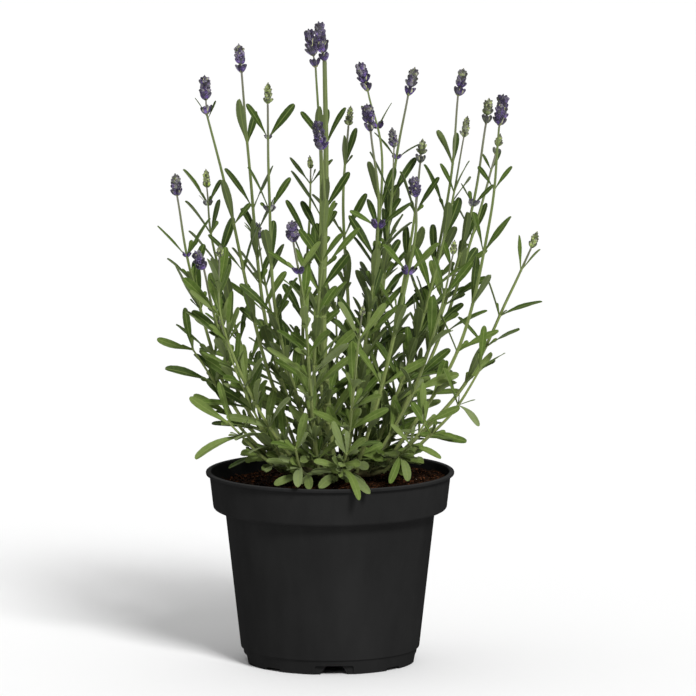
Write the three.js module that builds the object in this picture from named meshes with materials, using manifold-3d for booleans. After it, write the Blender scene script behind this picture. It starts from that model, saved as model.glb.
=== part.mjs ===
// Potted lavender: a moulded nursery pot on notched feet, its soil, the plant's woody crown, and the shoots,
// each one grown piece of square stem and opposite leaves, most with a flower spike at the top.
// Millimetres, +Z up. The origin is on the pot's axis, on the plane that its feet stand on; the front is -Y.

import * as THREE from 'three';
import { mergeVertices } from 'three/addons/utils/BufferGeometryUtils.js';
import Module from 'manifold-3d';

const wasm = await Module();
wasm.setup();

// ---- Driving dimensions -------------------------------------------------------------------------------

const GAP = 0.3; // left between two pieces that touch

const POT_HEIGHT = 147;
const POT_WALL = 1.4;
const LIP_RADIUS = 95;
const LIP_THICKNESS = 2.5;
const COLLAR_TOP_RADIUS = 92.3;
const COLLAR_BOTTOM_RADIUS = 89.3;
const COLLAR_BOTTOM = 120.5;
const SHOULDER = 117; // height at which the collar's rounded underside meets the body
const BODY_TOP_RADIUS = 80.3;
const BODY_BOTTOM_RADIUS = 68.4;
const SKIRT_TOP = 11; // the skirt is the band that the feet are cut from
const SKIRT_TOP_RADIUS = 67;
const FOOT_RADIUS = 65;
const POT_SIDES = 24;

const FOOT_HEIGHT = 7;
const FOOT_INNER_RADIUS = 46;
const CENTRE_FOOT_RADIUS = 11; // the foot that holds up the middle of the floor
const POT_TURN = 2.9; // degrees that the front notch stands right of the centre
const NOTCH_WIDTH = 29.6; // wide notch, cut through the skirt
const CHANNEL_TOP_WIDTH = 11; // channel behind a wide notch, under the floor
const CHANNEL_BOTTOM_WIDTH = 20.5;
const CHANNEL_STEP = 0.6; // height at which the channel's sides start to slant in
const NOTCH_DEPTH = 2.5; // how far the notches are cut in from the skirt's foot
const SMALL_NOTCH_DEPTH = 6;
const DRAIN_COUNT = 8;
const SMALL_NOTCH_WIDTH = 14;
const SMALL_NOTCH_HEIGHT = 2.3;
const DRAIN_RADIUS = 5;
const DRAIN_CIRCLE = 34;

const SOIL_TOP = 138.4; // at the pot's axis
const SOIL_EDGE = 127; // the soil's side stands straight above this height
const SOIL_SLOPE = 0.035; // the soil lies higher on the right
const SOIL_LUMP = 0.5;

const CROWN_FOOT = 116; // lowest point of the stock, down in the soil
const CROWN_FOOT_RADIUS = 8;
const CROWN_UNDERSIDE = 141.6;
const CROWN_RADIUS = 23;
const CROWN_RIM = 144;
const CROWN_TOP = 147.4;
const ARM_START = 14; // arms leave the crown at this distance from the axis
const ARM_START_HEIGHT = 143.6;

const STEM_LIFT = 2.1; // a stem starts this far above the end of its arm, so that its slanted end stays clear
const STEM_BASE = 1.45; // half of the square stem's diagonal
const STEM_TOP = 1.0;
const THICK_SHOOT = '05'; // the tallest shoot, with the stoutest stem
const THICKER = 1.5;
const STEM_STEPS = 7;
const HEAD_LIFT = 0.7; // a spike stands this far above its stem, so that the slanted ends stay clear
const HEAD_SINK = 0.6; // a small head that is one piece with its stem reaches this far into it
const LEAF_HALF_WIDTH = 3.6;
const LEAF_THICKNESS = 0.9;
const LEAF_RINGS = [0, 0.62, 1];
const LEAF_SHAPE = [0.1, 1, 0];
const LEAF_TURNS = [0, 16, -16, 32, -32, 48, -48, 64, -64]; // degrees that a leaf may turn to grow clear
const TIP_SHIFTS = [0, 4, -4, 8, -8, 12, -12]; // mm that a set leaf's tip may move in depth to grow clear
const LOWEST_PAIR = 158;
const FIRST_SPACING = 40; // between the leaf pairs, getting closer down the stem
const LAST_SPACING = 28;

// The space over the soil that water is poured into, kept free of leaves.
const WATER_SPACES = [
  [[-82, -24, 137.5], [-56, 24, 150]],
  [[56, -24, 143.5], [82, 24, 150]],
];

// Each shoot: its name; the four points that its stem runs through, from the crown up; the height of its
// highest free leaf pair (0 for none) and which way that pair faces in degrees; the leaves with a set tip,
// each as the height where it leaves the stem, the tip, and how far it arches; and the head, as its kind,
// length, radius, distance down to a separate lower whorl, and lean to the right in degrees.
const SHOOTS = [
  {
    name: '01', stem: [[-21, 8, 148], [-52, 14, 237], [-78, 21, 355], [-94, 25, 418]],
    pair: 298, facing: 0,
    leaves: [[334, -82, 8, 370, 1], [334, -61, 31, 349, 1]], head: ['spike', 19, 4.6, 10, -3],
  },
  {
    name: '02', stem: [[-14, 21, 148], [-48, 38, 249], [-62, 60, 374], [-68, 70, 445]],
    pair: 342, facing: 0,
    leaves: [[392, -70, 50, 427, 2], [392, -57, 76, 415, 2]], head: ['spike', 16, 4.2, 5, -6],
  },
  {
    name: '03', stem: [[-9, -8, 150], [-40, -14, 263], [-46, -21, 364], [-47, -25, 431]],
    pair: 306, facing: 80,
    leaves: [
      [405, -63, -28, 432, 1], [405, -27, -20, 431, 1],
      [349, -62, -30, 384, 2], [349, -30, -12, 374, 2],
    ],
    head: ['spike', 15, 3.2, 0, 1],
  },
  {
    name: '04', stem: [[-3, 10, 151], [-8, 19, 251], [-7, 30, 374], [-11, 35, 453]],
    pair: 340, facing: 10,
    leaves: [[393, -8, 20, 425, 2], [393, -2, 46, 420, 2]], head: ['spike', 21, 5, 8, -11],
  },
  {
    name: '05', stem: [[2, -4, 150], [-5, -8, 255], [-3, -13, 379], [-4, -15, 463]],
    pair: 344, facing: 90,
    leaves: [[398, -22, -20, 425, 1], [398, 12, -8, 427, 2]], head: ['spike', 24, 4.9, 4, -9],
  },
  {
    name: '06', stem: [[-3, -24, 147], [-12, -44, 229], [-4, -68, 343], [-6, -80, 402]],
    pair: 292, facing: 0,
    leaves: [[335, -3, -82, 366, 1], [335, 4, -58, 362, 1]], head: ['spike', 22, 5.2, 0, -9],
  },
  {
    name: '08', stem: [[12, 28, 148], [15, 52, 239], [10, 81, 340], [14, 95, 401]],
    pair: 318, facing: 0,
    leaves: [[371, 11, 78, 396, 2], [371, 20, 102, 399, 2]], head: ['spike', 14, 3, 0, 7],
  },
  {
    name: '09', stem: [[17, 18, 148], [29, 33, 249], [40, 51, 374], [29, 60, 432]],
    pair: 344, facing: 60,
    leaves: [[404, 47, 52, 424, 1], [404, 24, 68, 420, 1]], head: ['spike', 17, 5, 4, -17],
  },
  {
    name: '10', stem: [[12, 3, 149], [26, 3, 238], [37, 4, 342], [31, 5, 407]],
    pair: 288, facing: 90,
    leaves: [[333, 62, 0, 353, 2], [333, 15, 8, 346, 2]], head: ['spike', 15, 5, 5, -8],
  },
  {
    name: '11', stem: [[21, 26, 148], [37, 47, 247], [49, 72, 365], [60, 85, 426]],
    pair: 326, facing: 100,
    leaves: [[378, 34, 80, 398, 2], [378, 69, 70, 390, 2]], head: ['spike', 16, 4.2, 4, 14],
  },
  {
    name: '13', stem: [[26, 12, 147], [46, 22, 235], [63, 34, 327], [69, 40, 379]],
    pair: 340, facing: 15,
    leaves: [], head: ['spike', 12, 3.6, 4, 6],
  },
  {
    name: '14', stem: [[20, -22, 147], [42, -41, 229], [63, -64, 327], [65, -75, 366]],
    pair: 258, facing: 90,
    leaves: [[306, 40, -72, 330, 2], [306, 82, -70, 331, 1]], head: ['spike', 16, 4.8, 0, -9],
  },
  {
    name: '15', stem: [[32, 16, 148], [67, 30, 242], [91, 47, 356], [98, 55, 429]],
    pair: 340, facing: 20,
    leaves: [[377, 82, 42, 404, 2], [377, 97, 62, 400, 2]], head: ['spike', 15, 4.2, 5, 12],
  },
  {
    name: '17', stem: [[35, 8, 147], [76, 14, 240], [107, 21, 340], [119, 25, 411]],
    pair: 312, facing: 80,
    leaves: [[348, 100, 18, 366, 2], [348, 125, 26, 364, 2]], head: ['spike', 13, 4, 5, 7],
  },
  {
    name: '18', stem: [[40, -9, 147], [96, -16, 239], [121, -26, 342], [128, -30, 415]],
    pair: 318, facing: 10,
    leaves: [[366, 138, -24, 384, 2], [366, 112, -34, 385, 2]], head: ['spike', 23, 5.2, 0, 7],
  },
  {
    name: '19', stem: [[38, 20, 149], [81, 33, 238], [110, 51, 324], [127, 60, 383]],
    pair: 286, facing: 70,
    leaves: [
      [371, 117, 58, 384, 0], [371, 131, 66, 386, 0],
      [321, 94, 44, 349, 5], [321, 120, 58, 346, 3],
    ],
    head: ['spike', 10, 3, 3, 13],
  },
  {
    name: '20', stem: [[43, 0, 147], [101, 0, 211], [136, 0, 281], [153, 0, 318]],
    pair: 214, facing: 70,
    leaves: [
      [301, 144, 4, 328, 1], [301, 160, -4, 318, 1],
      [266, 162, 10, 276, 3], [266, 119, -8, 298, 2],
      [242, 144, -16, 258, 4], [242, 98, 12, 264, 2],
    ],
    head: ['spike', 12, 3.2, 0, 20],
  },
  {
    name: '22', stem: [[-31, -3, 148], [-75, -6, 201], [-105, -8, 297], [-116, -10, 359]],
    pair: 236, facing: 20,
    leaves: [
      [313, -131, -12, 337, -1], [313, -91, -6, 342, 2],
      [272, -117, -24, 308, 1], [272, -103, 8, 308, 1],
    ],
    head: ['spike', 16, 4.2, 0, -5],
  },
  {
    name: '25', stem: [[-27, -15, 147], [-66, -28, 204], [-86, -42, 267], [-95, -50, 308]],
    pair: 276, facing: 0,
    leaves: [], head: ['spike', 15, 4.5, 0, -25],
  },
  {
    name: '28', stem: [[-9, -34, 147], [-14, -63, 209], [-19, -98, 286], [-27, -115, 337]],
    pair: 268, facing: 90,
    leaves: [[313, -46, -110, 330, 2], [313, -7, -106, 337, 1]], head: ['spike', 16, 5, 0, -5],
  },
  {
    name: '07', stem: [[-11, 30, 148], [-21, 44, 233], [-16, 64, 331], [-15, 75, 371]],
    pair: 314, facing: 0,
    leaves: [[359, -31, 78, 379, 1], [359, 2, 72, 378, 1]], head: ['bud', 9, 2.4, 0, -5],
  },
  {
    name: '12', stem: [[19, 10, 147], [32, 25, 235], [46, 38, 338], [49, 45, 391]],
    pair: 352, facing: 30,
    leaves: [], head: ['bud', 14, 3.6, 0, -6],
  },
  {
    name: '16', stem: [[29, 3, 147], [63, 6, 238], [89, 8, 334], [102, 10, 403]],
    pair: 324, facing: 75,
    leaves: [[360, 106, 4, 385, 2], [360, 84, 12, 382, 2]], head: ['bud', 15, 3.2, 0, 10],
  },
  {
    name: '21', stem: [[29, -18, 147], [63, -33, 212], [83, -51, 275], [93, -60, 322]],
    pair: 288, facing: 15,
    leaves: [], head: ['bud', 10, 2.8, 0, 6],
  },
  {
    name: '23', stem: [[-23, 21, 149], [-61, 38, 218], [-89, 60, 308], [-95, 70, 357]],
    pair: 298, facing: 10,
    leaves: [[343, -113, 66, 371, 1], [343, -84, 74, 362, 1]], head: ['bud', 13, 3, 0, -3],
  },
  {
    name: '26', stem: [[-21, -26, 147], [-55, -47, 203], [-81, -72, 271], [-83, -85, 323]],
    pair: 296, facing: 70,
    leaves: [], head: ['bud', 9, 2.8, 0, 5],
  },
  {
    name: '27', stem: [[-6, 34, 148], [-32, 61, 207], [-49, 94, 272], [-56, 110, 312]],
    pair: 276, facing: 20,
    leaves: [], head: ['bud', 12, 3.8, 0, -6],
  },
  {
    name: '29', stem: [[-30, -21, 147], [-52, -33, 186], [-72, -51, 234], [-82, -60, 268]],
    pair: 254, facing: 50,
    leaves: [], head: ['bud', 7, 2.4, 0, -10],
  },
  {
    name: '34', stem: [[9, -33, 147], [15, -61, 190], [20, -94, 244], [24, -110, 282]],
    pair: 262, facing: 10,
    leaves: [], head: ['bud', 8, 2.4, 0, 8],
  },
  {
    name: 'left_upper', stem: [[-36, -10, 148], [-69, -19, 184], [-90, -30, 223], [-105, -35, 247]],
    pair: 192, facing: 60,
    leaves: [
      [245, -131, -38, 254, -1], [245, -110, -32, 277, 1],
      [218, -125, -37, 231, 4], [218, -66, -22, 246, 2],
    ],
    head: ['none', 0, 0, 0, 0],
  },
  {
    name: 'left_lower', stem: [[-37, -18, 147], [-54, -28, 164], [-66, -42, 179], [-77, -50, 192]],
    pair: 0, facing: 0,
    leaves: [
      [190, -106, -58, 212, 2], [190, -84, -44, 222, 1],
      [180, -102, -52, 164, 8], [180, -62, -66, 196, 3],
    ],
    head: ['none', 0, 0, 0, 0],
  },
  {
    name: 'right_upper', stem: [[46, -12, 147], [74, -19, 175], [96, -30, 200], [115, -35, 232]],
    pair: 0, facing: 0,
    leaves: [
      [230, 117, -38, 264, 1], [230, 133, -36, 243, 1],
      [202, 113, -44, 188, 5], [202, 86, -34, 232, 2],
      [178, 96, -30, 176, 5], [178, 62, -30, 204, 2],
    ],
    head: ['none', 0, 0, 0, 0],
  },
  {
    name: 'right_lower', stem: [[41, -22, 147], [53, -33, 163], [63, -51, 177], [72, -60, 193]],
    pair: 0, facing: 0,
    leaves: [
      [192, 98, -68, 206, 2], [192, 70, -60, 224, 1],
      [174, 84, -62, 166, 5], [174, 46, -62, 192, 2],
    ],
    head: ['none', 0, 0, 0, 0],
  },
  {
    name: 'front_right', stem: [[5, -28, 147], [7, -46, 151], [9, -64, 159], [13, -78, 172]],
    pair: 0, facing: 0,
    leaves: [
      [171, 27, -96, 186, 4], [171, 2, -88, 198, 2],
      [158, 22, -104, 141, 12], [158, -12, -78, 166, 4],
      [152, 27, -76, 148, 8], [152, -14, -62, 156, 4],
    ],
    head: ['none', 0, 0, 0, 0],
  },
  {
    name: 'front_left', stem: [[-13, -28, 147], [-18, -46, 151], [-23, -62, 160], [-26, -76, 176]],
    pair: 0, facing: 0,
    leaves: [
      [174, -44, -92, 182, 4], [174, -18, -84, 204, 2],
      [158, -24, -98, 150, 10], [158, -48, -60, 164, 5],
    ],
    head: ['none', 0, 0, 0, 0],
  },
  {
    name: 'back_right', stem: [[32, 33, 149], [53, 61, 191], [65, 94, 233], [72, 110, 270]],
    pair: 262, facing: 30,
    leaves: [], head: ['none', 0, 0, 0, 0],
  },
  {
    name: 'back', stem: [[8, 40, 149], [6, 69, 190], [5, 106, 231], [4, 125, 260]],
    pair: 252, facing: 60,
    leaves: [], head: ['none', 0, 0, 0, 0],
  },
];

// ---- Materials ----------------------------------------------------------------------------------------

function material(color, roughness) {
  return new THREE.MeshStandardMaterial({ color, roughness, metalness: 0 });
}

const potPlastic = material(0x1b1b1c, 0.5);
const peat = material(0x2a1a12, 1);
const bark = material(0x7a6a45, 0.9);
const leafGreen = material(0x587a3c, 0.7);
const violet = material(0x4b3a7c, 0.8);

// ---- Solids -------------------------------------------------------------------------------------------

function solidOf(geometry) {
  const bare = geometry.clone();
  bare.deleteAttribute('normal');
  bare.deleteAttribute('uv');
  const merged = mergeVertices(bare, 1e-4);
  return new wasm.Manifold(new wasm.Mesh({
    numProp: 3,
    vertProperties: new Float32Array(merged.getAttribute('position').array),
    triVerts: new Uint32Array(merged.index.array),
  }));
}

function geometryOf(solid) {
  const mesh = solid.getMesh();
  const geometry = new THREE.BufferGeometry();
  geometry.setAttribute('position', new THREE.BufferAttribute(mesh.vertProperties, 3));
  geometry.setIndex(new THREE.BufferAttribute(mesh.triVerts, 1));
  geometry.computeVertexNormals();
  return geometry;
}

// A turned shape about Z, from a profile of [radius, height] points that starts and ends on the axis.
function turned(profile, sides) {
  const points = profile.map(([radius, height]) => new THREE.Vector2(radius, height));
  return new THREE.LatheGeometry(points, sides).rotateX(Math.PI / 2);
}

// A block from a low corner to a high corner.
function block([x0, y0, z0], [x1, y1, z1]) {
  const box = new THREE.BoxGeometry(x1 - x0, y1 - y0, z1 - z0);
  return box.translate((x0 + x1) / 2, (y0 + y1) / 2, (z0 + z1) / 2);
}

// Lays a cylinder or cone of unit height along a curve. Its rings go to the places in rings, with the half
// width and half depth that sizeAt gives for each ring, and its width lies along across.
function sweep(unitShape, curve, rings, sizeAt, across) {
  const places = unitShape.getAttribute('position');
  for (let i = 0; i < places.count; i += 1) {
    const ring = Math.round((places.getY(i) + 0.5) * (rings.length - 1));
    const radius = Math.hypot(places.getX(i), places.getZ(i)) || 1;
    const [halfWidth, halfDepth] = sizeAt(ring);
    const along = curve.getTangent(rings[ring]);
    const side = across.clone().addScaledVector(along, -across.dot(along)).normalize();
    const out = side.clone().cross(along);
    const point = curve.getPoint(rings[ring]);
    point.addScaledVector(side, (places.getX(i) / radius) * halfWidth);
    point.addScaledVector(out, (places.getZ(i) / radius) * halfDepth);
    places.setXYZ(i, point.x, point.y, point.z);
  }
  return unitShape;
}

// ---- Pot ----------------------------------------------------------------------------------------------

// The outside or, with inset, the inside face of the pot's wall, as a profile from the foot up.
function potWall(inset) {
  const path = new THREE.Path();
  path.moveTo(FOOT_RADIUS - inset, inset);
  path.lineTo(SKIRT_TOP_RADIUS - inset, SKIRT_TOP);
  path.lineTo(BODY_BOTTOM_RADIUS - inset, SKIRT_TOP + 1);
  path.lineTo(BODY_TOP_RADIUS - inset, SHOULDER + inset);
  path.quadraticCurveTo(
    COLLAR_BOTTOM_RADIUS - inset, SHOULDER + inset,
    COLLAR_BOTTOM_RADIUS - inset, COLLAR_BOTTOM + inset,
  );
  path.lineTo(COLLAR_TOP_RADIUS - inset, POT_HEIGHT - LIP_THICKNESS);
  return path.getPoints(4).map((point) => [point.x, point.y]);
}

// The space under the raised floor: a ring round the centre foot, four channels that lead out through the
// wide notches, and four small notches between them. With grow it is larger all over, which leaves the wall.
function spaceUnderFloor(grow) {
  const top = FOOT_HEIGHT + grow;
  const half = NOTCH_WIDTH / 2 + grow;
  const smallHalf = SMALL_NOTCH_WIDTH / 2 + grow;
  const reach = LIP_RADIUS;
  const channel = new THREE.Shape([
    new THREE.Vector2(-CHANNEL_BOTTOM_WIDTH / 2 - grow, -1),
    new THREE.Vector2(CHANNEL_BOTTOM_WIDTH / 2 + grow, -1),
    new THREE.Vector2(CHANNEL_BOTTOM_WIDTH / 2 + grow, CHANNEL_STEP),
    new THREE.Vector2(CHANNEL_TOP_WIDTH / 2 + grow, top),
    new THREE.Vector2(-CHANNEL_TOP_WIDTH / 2 - grow, top),
    new THREE.Vector2(-CHANNEL_BOTTOM_WIDTH / 2 - grow, CHANNEL_STEP),
  ]);
  const tunnel = new THREE.ExtrudeGeometry(channel, { depth: reach, bevelEnabled: false });
  tunnel.rotateX(Math.PI / 2);
  const wide = block([-half, -reach, -1], [half, NOTCH_DEPTH + grow - FOOT_RADIUS, top]);
  const small = block(
    [-smallHalf, -reach, -1],
    [smallHalf, SMALL_NOTCH_DEPTH + grow - FOOT_RADIUS, SMALL_NOTCH_HEIGHT + grow],
  );
  const radius = FOOT_INNER_RADIUS + grow;
  const middle = turned([[0, -1], [radius, -1], [radius, top], [0, top]], POT_SIDES);
  const cuts = [solidOf(middle)];
  for (let quarter = 0; quarter < 4; quarter += 1) {
    const turn = POT_TURN + quarter * 90;
    cuts.push(solidOf(tunnel).rotate([0, 0, turn]));
    cuts.push(solidOf(wide).rotate([0, 0, turn]));
    cuts.push(solidOf(small).rotate([0, 0, turn + 45]));
  }
  const inner = CENTRE_FOOT_RADIUS - grow;
  const centreFoot = turned([[0, -1], [inner, -1], [inner, top + 1], [0, top + 1]], POT_SIDES);
  return wasm.Manifold.union(cuts).subtract(solidOf(centreFoot));
}

function makePot() {
  const outside = solidOf(turned([
    [0, 0], ...potWall(0),
    [LIP_RADIUS, POT_HEIGHT - LIP_THICKNESS], [LIP_RADIUS, POT_HEIGHT], [0, POT_HEIGHT],
  ], POT_SIDES));
  const mouth = COLLAR_TOP_RADIUS - POT_WALL;
  const inside = solidOf(turned([
    [0, POT_WALL], ...potWall(POT_WALL), [mouth, POT_HEIGHT + 1], [0, POT_HEIGHT + 1],
  ], POT_SIDES));
  const hollow = inside.subtract(spaceUnderFloor(POT_WALL));
  const drains = [];
  for (let i = 0; i < DRAIN_COUNT; i += 1) {
    const hole = new THREE.CylinderGeometry(DRAIN_RADIUS, DRAIN_RADIUS, 3 * POT_WALL, 12);
    hole.rotateX(Math.PI / 2);
    hole.translate(0, -DRAIN_CIRCLE, FOOT_HEIGHT + POT_WALL / 2);
    drains.push(solidOf(hole).rotate([0, 0, POT_TURN + (i * 360) / DRAIN_COUNT]));
  }
  return outside.subtract(hollow).subtract(spaceUnderFloor(0)).subtract(wasm.Manifold.union(drains));
}

// ---- Soil and crown -----------------------------------------------------------------------------------

function soilHeight(x, y) {
  const edge = (Math.hypot(x, y) / COLLAR_TOP_RADIUS) ** 4;
  const lumps = Math.sin(x * 0.13 + 1) * Math.cos(y * 0.11 + 0.5) + Math.sin(x * 0.05 - y * 0.07);
  return SOIL_TOP + SOIL_SLOPE * x - 1.5 * edge + SOIL_LUMP * lumps;
}

// The soil stands on the raised floor and fills the pot. The crown's foot is set in a socket in its middle.
function makeSoil() {
  const inset = POT_WALL + 2 * GAP;
  const wall = potWall(inset).filter(([, height]) => height > SKIRT_TOP && height < SOIL_EDGE);
  const floor = FOOT_HEIGHT + inset;
  const edgeRadius = COLLAR_BOTTOM_RADIUS - inset;
  const topRings = [edgeRadius, 72, 54, 36, 18].map((radius) => [radius, POT_HEIGHT]);
  const shape = turned([
    [0, floor], [FOOT_RADIUS - inset, floor], ...wall, ...topRings, [0, POT_HEIGHT],
  ], POT_SIDES);
  const places = shape.getAttribute('position');
  for (let i = 0; i < places.count; i += 1) {
    if (places.getZ(i) > POT_HEIGHT - 1) {
      places.setZ(i, soilHeight(places.getX(i), places.getY(i)));
    }
  }
  const socket = turned([
    [0, CROWN_FOOT - GAP],
    [CROWN_FOOT_RADIUS + GAP, CROWN_FOOT - GAP],
    [CROWN_FOOT_RADIUS + GAP, POT_HEIGHT],
    [0, POT_HEIGHT],
  ], 12);
  return solidOf(shape).subtract(solidOf(socket));
}

// The woody crown: a stock set in the soil, a knuckle on it, and one short arm to each shoot beyond it.
function makeCrown() {
  const stock = turned([
    [0, CROWN_FOOT],
    [CROWN_FOOT_RADIUS, CROWN_FOOT],
    [CROWN_FOOT_RADIUS, CROWN_UNDERSIDE],
    [CROWN_RADIUS - 2, CROWN_UNDERSIDE],
    [CROWN_RADIUS, CROWN_RIM],
    [CROWN_RADIUS * 0.6, CROWN_TOP - 0.8],
    [0, CROWN_TOP],
  ], 12);
  const parts = [solidOf(stock)];
  for (const shoot of SHOOTS) {
    const foot = new THREE.Vector3(...shoot.stem[0]);
    const reach = Math.hypot(foot.x, foot.y);
    if (reach < CROWN_RADIUS - 2) {
      continue;
    }
    const lean = foot.clone().setZ(0).multiplyScalar(Math.min(1, ARM_START / reach));
    const start = lean.clone().setZ(ARM_START_HEIGHT);
    const line = new THREE.LineCurve3(start, foot);
    const unitShape = new THREE.CylinderGeometry(1, 1, 1, 4, 1);
    const thickness = (ring) => (ring === 0 ? [1.9, 1.9] : [STEM_BASE, STEM_BASE]);
    const across = new THREE.Vector3(-foot.y, foot.x, 0).normalize();
    parts.push(solidOf(sweep(unitShape, line, [0, 1], thickness, across)));
  }
  return wasm.Manifold.union(parts);
}

// ---- Shoots -------------------------------------------------------------------------------------------

const RIGHT = new THREE.Vector3(1, 0, 0);
const UP = new THREE.Vector3(0, 0, 1);

// The same number between 0 and 1 for the same n.
function unitNoise(n) {
  const value = Math.sin(n * 12.9898) * 43758.5453;
  return value - Math.floor(value);
}

function stemCurve(shoot) {
  const points = shoot.stem.map((place) => new THREE.Vector3(...place));
  points[0].z += STEM_LIFT;
  return new THREE.CatmullRomCurve3(points, false, 'catmullrom', 0.5);
}

// Where along the stem it reaches a height.
function placeAtHeight(curve, height) {
  let low = 0;
  let high = 1;
  for (let i = 0; i < 30; i += 1) {
    const middle = (low + high) / 2;
    if (curve.getPoint(middle).z < height) {
      low = middle;
    } else {
      high = middle;
    }
  }
  return (low + high) / 2;
}

function makeStem(shoot, curve) {
  const rings = [];
  for (let i = 0; i <= STEM_STEPS; i += 1) {
    rings.push(i / STEM_STEPS);
  }
  const thickness = shoot.name === THICK_SHOOT ? THICKER : 1;
  const sizeAt = (ring) => {
    const size = THREE.MathUtils.lerp(STEM_BASE, STEM_TOP, ring / STEM_STEPS) * thickness;
    return [size, size];
  };
  const facing = THREE.MathUtils.degToRad(shoot.facing);
  const across = new THREE.Vector3(Math.cos(facing), Math.sin(facing), 0);
  const unitShape = new THREE.CylinderGeometry(1, 1, 1, 4, STEM_STEPS, false, Math.PI / 4);
  return sweep(unitShape, curve, rings, sizeAt, across);
}

// A leaf from its joint on the stem to its tip: three-sided, keel below, its blade facing the stem above.
function makeLeaf(curve, place, tip, arch) {
  const joint = curve.getPoint(place);
  const along = curve.getTangent(place);
  const reach = tip.clone().sub(joint);
  const out = reach.clone().addScaledVector(along, -reach.dot(along)).normalize();
  const bend = joint.clone().lerp(tip, 0.5);
  bend.addScaledVector(along, arch / 2).addScaledVector(UP, arch / 2);
  const spine = new THREE.QuadraticBezierCurve3(joint, bend, tip);
  const width = LEAF_HALF_WIDTH * THREE.MathUtils.clamp(reach.length() / 34, 0.5, 1);
  const sizeAt = (ring) => [width * LEAF_SHAPE[ring], LEAF_THICKNESS * LEAF_SHAPE[ring] ** 0.5];
  return sweep(new THREE.ConeGeometry(1, 1, 3, 2), spine, LEAF_RINGS, sizeAt, along.clone().cross(out));
}

// Every place that each leaf of a shoot may take, best first: those with a set tip, then the free pairs,
// which stand at right angles to the pair above, and spread more and hang lower towards the foot of the stem.
function leafChoices(shoot, curve) {
  const choices = [];
  for (const [height, x, y, z, arch] of shoot.leaves) {
    const place = placeAtHeight(curve, height);
    choices.push(TIP_SHIFTS.map((shift) => [place, new THREE.Vector3(x, y + shift, z), arch]));
  }
  let height = shoot.pair;
  let facing = shoot.facing;
  let number = 0;
  while (height > LOWEST_PAIR) {
    const down = (shoot.pair - height) / (shoot.pair - LOWEST_PAIR);
    const place = placeAtHeight(curve, height);
    const joint = curve.getPoint(place);
    const along = curve.getTangent(place);
    const right = RIGHT.clone().addScaledVector(along, -along.x).normalize();
    const behind = along.clone().cross(right);
    for (const side of [0, 180]) {
      number += 1;
      const chance = unitNoise(number + shoot.stem[3][0] * 0.37);
      const length = (31 + 9 * Math.sin(Math.PI * (0.25 + 0.6 * down))) * (0.88 + 0.24 * chance);
      const spread = THREE.MathUtils.degToRad(30 + 26 * down + 10 * (chance - 0.5));
      choices.push(LEAF_TURNS.map((turn) => {
        const angle = THREE.MathUtils.degToRad(facing + side + turn);
        const tip = joint.clone().addScaledVector(along, length * Math.cos(spread));
        tip.addScaledVector(right, length * Math.sin(spread) * Math.cos(angle));
        tip.addScaledVector(behind, length * Math.sin(spread) * Math.sin(angle));
        tip.addScaledVector(UP, -length * 0.12 * down);
        return [place, tip, 2 + 3 * down];
      }));
    }
    height -= THREE.MathUtils.lerp(FIRST_SPACING, LAST_SPACING, down);
    facing += 90;
  }
  return choices;
}

// A head of whorls on a short neck, standing on the origin. A lower whorl stands a gap below the rest.
function makeHead([, length, radius, lowerGap]) {
  const profile = [[0, 0], [STEM_TOP * 0.7, 0]];
  const whorl = (height, size) => {
    const widest = radius * size;
    profile.push([widest * 0.5, height], [widest, height + 1.6], [widest * 0.72, height + 3.6]);
  };
  if (lowerGap > 0) {
    whorl(0.8, 0.85);
    profile.push([STEM_TOP * 0.6, 4.8]);
  }
  const foot = lowerGap > 0 ? Math.max(5.2, lowerGap) : 0.8;
  if (lowerGap > 5) {
    profile.push([STEM_TOP * 0.6, foot - 0.3]);
  }
  const whorls = Math.max(2, Math.round(length / 4.2));
  const step = (length - 1.5) / whorls;
  for (let i = 0; i < whorls; i += 1) {
    const size = 1 - 0.45 * (i / whorls) ** 2;
    profile.push([radius * size * 0.72, foot + step * i], [radius * size, foot + step * (i + 0.45)]);
  }
  profile.push([0, foot + length]);
  return turned(profile, 6);
}

// Where a head stands on the end of its stem, and how it is turned from +Z: as the stem in depth, with its
// own lean to the side.
function headPose(shoot, curve, gap) {
  const along = curve.getTangent(1);
  const lean = THREE.MathUtils.degToRad(shoot.head[4]);
  const way = new THREE.Vector3(Math.tan(lean), along.y / along.z, 1).normalize();
  const turn = new THREE.Quaternion().setFromUnitVectors(UP, way);
  return { place: curve.getPoint(1).addScaledVector(along, gap), turn };
}

// ---- Assembly -----------------------------------------------------------------------------------------

// What is placed so far, so that each leaf can be grown clear of it.
const placed = [];

function remember(owner, solid) {
  placed.push({ owner, solid, box: solid.boundingBox() });
}

function boxesMeet(a, b) {
  return [0, 1, 2].every((i) => a.min[i] - GAP < b.max[i] && b.min[i] - GAP < a.max[i]);
}

function isClear(owner, solid) {
  const box = solid.boundingBox();
  return placed.every((other) => other.owner === owner || !boxesMeet(box, other.box)
    || solid.minGap(other.solid, 2 * GAP) >= GAP);
}

const lavender = new THREE.Group();

function addPiece(name, geometry, finish) {
  const mesh = new THREE.Mesh(geometry, finish);
  mesh.name = name;
  lavender.add(mesh);
  return mesh;
}

const pot = makePot();
const soil = makeSoil();
const crown = makeCrown();
addPiece('pot', geometryOf(pot), potPlastic);
addPiece('soil', geometryOf(soil), peat);
addPiece('crown', geometryOf(crown), bark);
remember('pot', pot);
remember('soil', soil);
remember('crown', crown);
for (const [low, high] of WATER_SPACES) {
  remember('water_space', solidOf(block(low, high)));
}

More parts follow.
